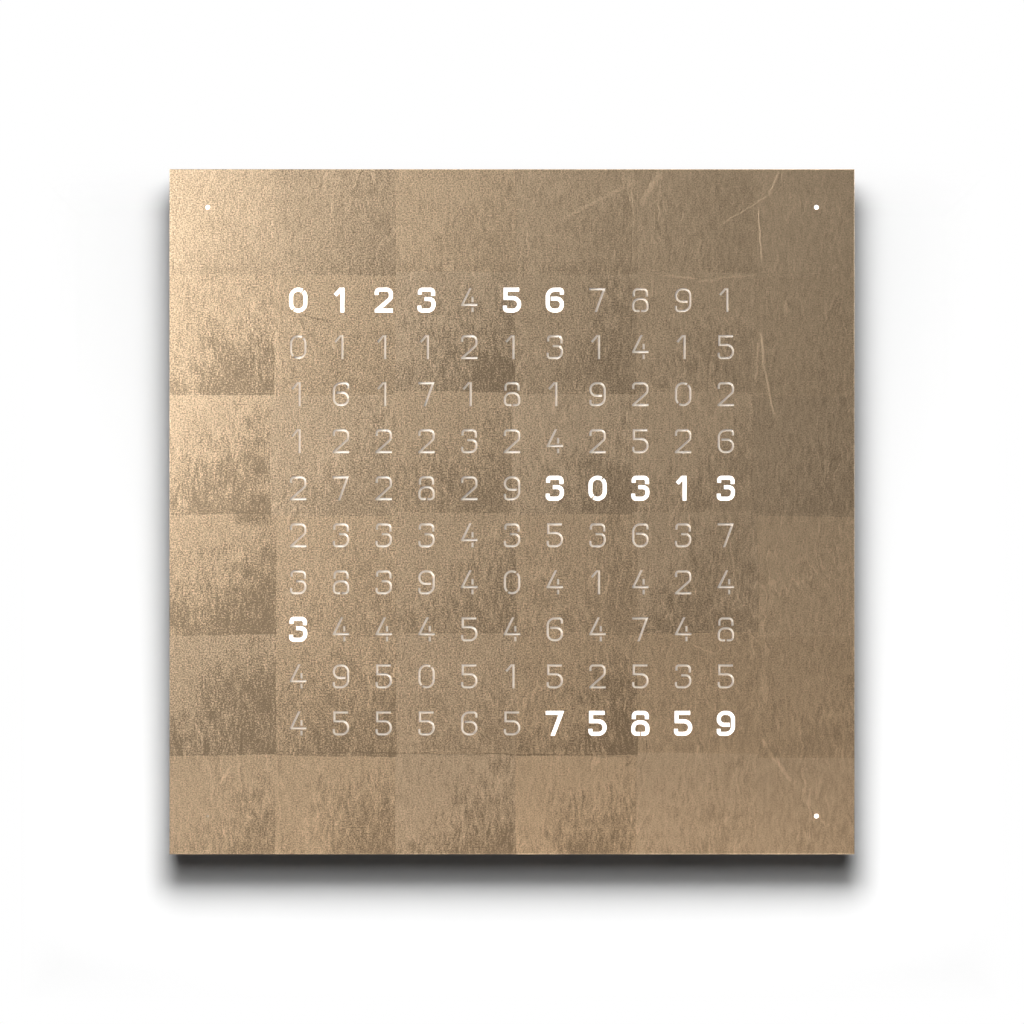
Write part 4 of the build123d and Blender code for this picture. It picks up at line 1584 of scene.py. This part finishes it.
@dataclass
class Studio:
    """The wall, a pale floor, the lamps, the surroundings and the camera.

    Places and sizes are in metres, apart from the lens, its sensor, and how far from the middle
    the wall turns white, which are in millimetres.
    """

    camera_distance: float = 3.737
    camera_height: float = -0.0002
    focal_length: float = 200.0
    sensor: float = 36.0
    sight: float = 100.0
    wall_gap: float = 0.0005
    wall_paint: float = 0.42
    palest_paint: float = 0.98
    white_from: tuple[float, float] = (285.0, 325.0)
    higher_white: float = 90.0
    wall_width: float = 8.0
    floor_width: float = 24.0
    floor_height: float = -2.5
    floor_paint: Colour = (0.85, 0.85, 0.85)
    room_tone: float = 0.20
    shade_tone: float = 0.025
    lamps: tuple[Lamp, ...] = (
        Lamp("wall_lamp", (0.0, -0.534, 0.537), (0.0, 0.0, 0.0), (0.72, 0.45), 16.2,
             lights=Lit.wall),
        Lamp("wide_wall_lamp", (0.0, -0.534, 0.537), (0.0, 0.0, 0.0), (1.1, 1.3), 8.4,
             lights=Lit.wall),
        Lamp("left_lamp", (-0.58, -0.34, 0.20), (-0.1, 0.0, 0.08), (0.16, 0.5), 9.4,
             (0.98, 1.01, 1.08)),
        Lamp("front_lamp", (-1.0, -3.2, 1.0), (0.0, 0.0, 0.0), (1.2, 1.2), 15.5),
        Lamp("low_lamp", (0.0, -0.45, -0.55), (0.0, 0.0, -0.2), (0.6, 0.2), 1.7,
             (1.0, 0.88, 0.79)),
        Lamp("low_right_lamp", (0.35, -0.55, -0.55), (0.1, 0.0, -0.15), (0.4, 0.3), 1.1,
             (1.0, 0.88, 0.79)),
        Lamp("sheet_lamp", (-1.0, -3.2, 1.0), (0.0, 0.0, 0.0), (0.4, 0.4), 60.0,
             (1.0, 0.85, 0.62), lights=Lit.sheet),
        Lamp("upper_lamp", (0.2, -0.5, 1.9), (0.0, 0.0, 0.1), (1.6, 0.6), 14.0),
        Lamp("right_rear_lamp", (1.7, 0.9, 0.5), (0.0, 0.0, 0.0), (1.0, 1.4), 26.0),
        Lamp("left_rear_lamp", (-1.5, 1.4, 0.9), (0.0, 0.0, 0.0), (1.2, 1.2), 30.0),
        Lamp("lower_lamp", (0.3, 0.25, -1.8), (0.0, 0.0, -0.1), (1.6, 0.8), 14.0),
    )

    @staticmethod
    def screen(name: str, size: float, place: Place, tilt: float,
               draw: Callable[[Sheet], tuple[Result, object]]) -> Piece:
        """Builds a big flat screen of paint and plain white, which is clear from behind.

        Args:
            name: What it stands for.
            size: Its side, in metres.
            place: Its centre, in metres.
            tilt: How far it is turned about X, in degrees.
            draw: Draws how much of the white shows, and the paint's colour.

        Returns:
            The screen.
        """
        take()
        bpy.ops.mesh.primitive_plane_add(size=size, location=place,
                                         rotation=(math.radians(tilt), 0.0, 0.0))
        screen = settle(f"studio_{name}")
        material = bpy.data.materials.new(f"{name}_paint")
        sheet = Sheet.bare(material)
        white, paint = draw(sheet)
        front = sheet.read("MixShader", white, sheet.read("BsdfDiffuse", paint),
                           sheet.read("Emission"))
        both = sheet.read("MixShader", sheet.read("NewGeometry", output="Backfacing"), front,
                          sheet.read("BsdfTransparent"))
        sheet.feed(sheet.node("OutputMaterial").inputs["Surface"], both)
        screen.data.materials.append(material)
        log.info("%s: %.1f m wide", screen.name, size)
        return screen

    def wall_look(self, sheet: Sheet) -> tuple[Result, object]:
        """Keeps the clock's shadow near it, and tones the paint so that its lamp leaves it even.

        Args:
            sheet: The wall material's nodes.

        Returns:
            How much of the white shows, and how pale the paint is at each place.
        """
        place = sheet.millimetres()
        x, _, z = place.axes()
        # No shadow falls above the clock, so the white starts nearer to it there
        above = (0.0 - z).math("MAXIMUM", z + self.higher_white)
        white = abs(x).math("MAXIMUM", above).ease(*self.white_from)
        lamp = next(lamp for lamp in self.lamps if lamp.lights is Lit.wall)
        centre = tuple(part / MM for part in lamp.place)
        reach = math.hypot(*centre)
        away = place.vector("SUBTRACT", centre)
        facing = away.vector("DOT_PRODUCT", tuple(-part / reach for part in centre))
        light = facing / away.vector("LENGTH").math("POWER", 4.0)
        even = sheet.read("Math", self.wall_paint * reach ** -3, light, operation="DIVIDE")
        return white, even.math("MINIMUM", self.palest_paint)

    @staticmethod
    def seen(sheet: Sheet) -> Result:
        """Tells whether a ray comes straight from the camera, or through clear plastic."""
        through = sheet.read("LightPath", output="Is Transmission Ray")
        return sheet.read("LightPath", output="Is Camera Ray").math("MAXIMUM", through)

    def surroundings(self) -> None:
        """Makes the world white where it is seen, and dim where it only lights."""
        world = bpy.context.scene.world = bpy.data.worlds.new("studio_world")
        sheet = Sheet.bare(world)
        toward_wall = sheet.read("TexCoord", output="Generated").axes()[1]
        mirrored = (sheet.read("LightPath", output="Is Glossy Ray")
                    * toward_wall.ease(-0.15, 0.35, self.room_tone, 1.0))
        strength = self.seen(sheet).math("MAXIMUM", mirrored.math("MAXIMUM", self.shade_tone))
        sheet.feed(sheet.node("OutputWorld").inputs["Surface"],
                   sheet.read("Background", None, strength))

    def light(self, wall: Piece) -> None:
        """Hangs the lamps, and says for each what it shines on.

        Args:
            wall: The wall.
        """
        groups = {lit: bpy.data.collections.new(f"lit_{lit.value}") for lit in Lit}
        groups[Lit.wall].objects.link(wall)
        groups[Lit.sheet].objects.link(frame["nodes"]["diffuser"])
        groups[Lit.clock].objects.link(wall)
        groups[Lit.clock].collection_objects[0].light_linking.link_state = "EXCLUDE"
        for lamp in self.lamps:
            data = tune(bpy.data.lights.new(lamp.name, "AREA"), energy=lamp.power,
                        shape="ELLIPSE" if lamp.lights is Lit.wall else "RECTANGLE",
                        size=lamp.size[0], size_y=lamp.size[1], color=lamp.colour)
            x, y, z = (aim - place for aim, place in zip(lamp.aim, lamp.place))
            turn = (math.atan2(math.hypot(x, y), -z), 0.0, math.atan2(-x, y))
            piece = add_object(lamp.name, data, location=lamp.place, rotation_euler=turn,
                               visible_camera=False)
            piece.light_linking.receiver_collection = groups[lamp.lights]
            log.info("%s: %.0f W", lamp.name, lamp.power)

    def camera(self) -> None:
        """Sets the camera straight in front of the cover."""
        data = tune(bpy.data.cameras.new("front_camera"), lens=self.focal_length,
                    sensor_width=self.sensor, clip_end=self.sight)
        place = (0.0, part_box("front_cover")[0][1] - self.camera_distance, self.camera_height)
        bpy.context.scene.camera = add_object("front_camera", data, location=place,
                                              rotation_euler=(math.radians(90), 0.0, 0.0))

    def build(self) -> None:
        """Sets up the studio and how it is shown."""
        bpy.context.scene.view_settings.view_transform = "Standard"
        self.camera()
        wall = self.screen("wall", self.wall_width, (0.0, self.wall_gap, 0.0), 90.0,
                           self.wall_look)
        tune(wall, visible_diffuse=False, visible_glossy=False, visible_shadow=False,
             visible_transmission=False)
        floor = self.screen("floor", self.floor_width, (0.0, 0.0, self.floor_height), 0.0,
                            lambda sheet: (self.seen(sheet), self.floor_paint))
        floor.visible_diffuse = False
        self.surroundings()
        self.light(wall)


def main() -> None:
    """Builds and dresses the clock, one sub-assembly after another."""
    logging.basicConfig(level=logging.INFO, format="%(name)s: %(message)s")
    Studio().build()
    for assembly in (Tray(), LightMatrix(), Electronics(), PushButtons(), HangerPlates(),
                     FrontCover()):
        assembly.dress()
        log.info("%s is dressed", type(assembly).__name__)


if __name__ == "__main__":
    main()
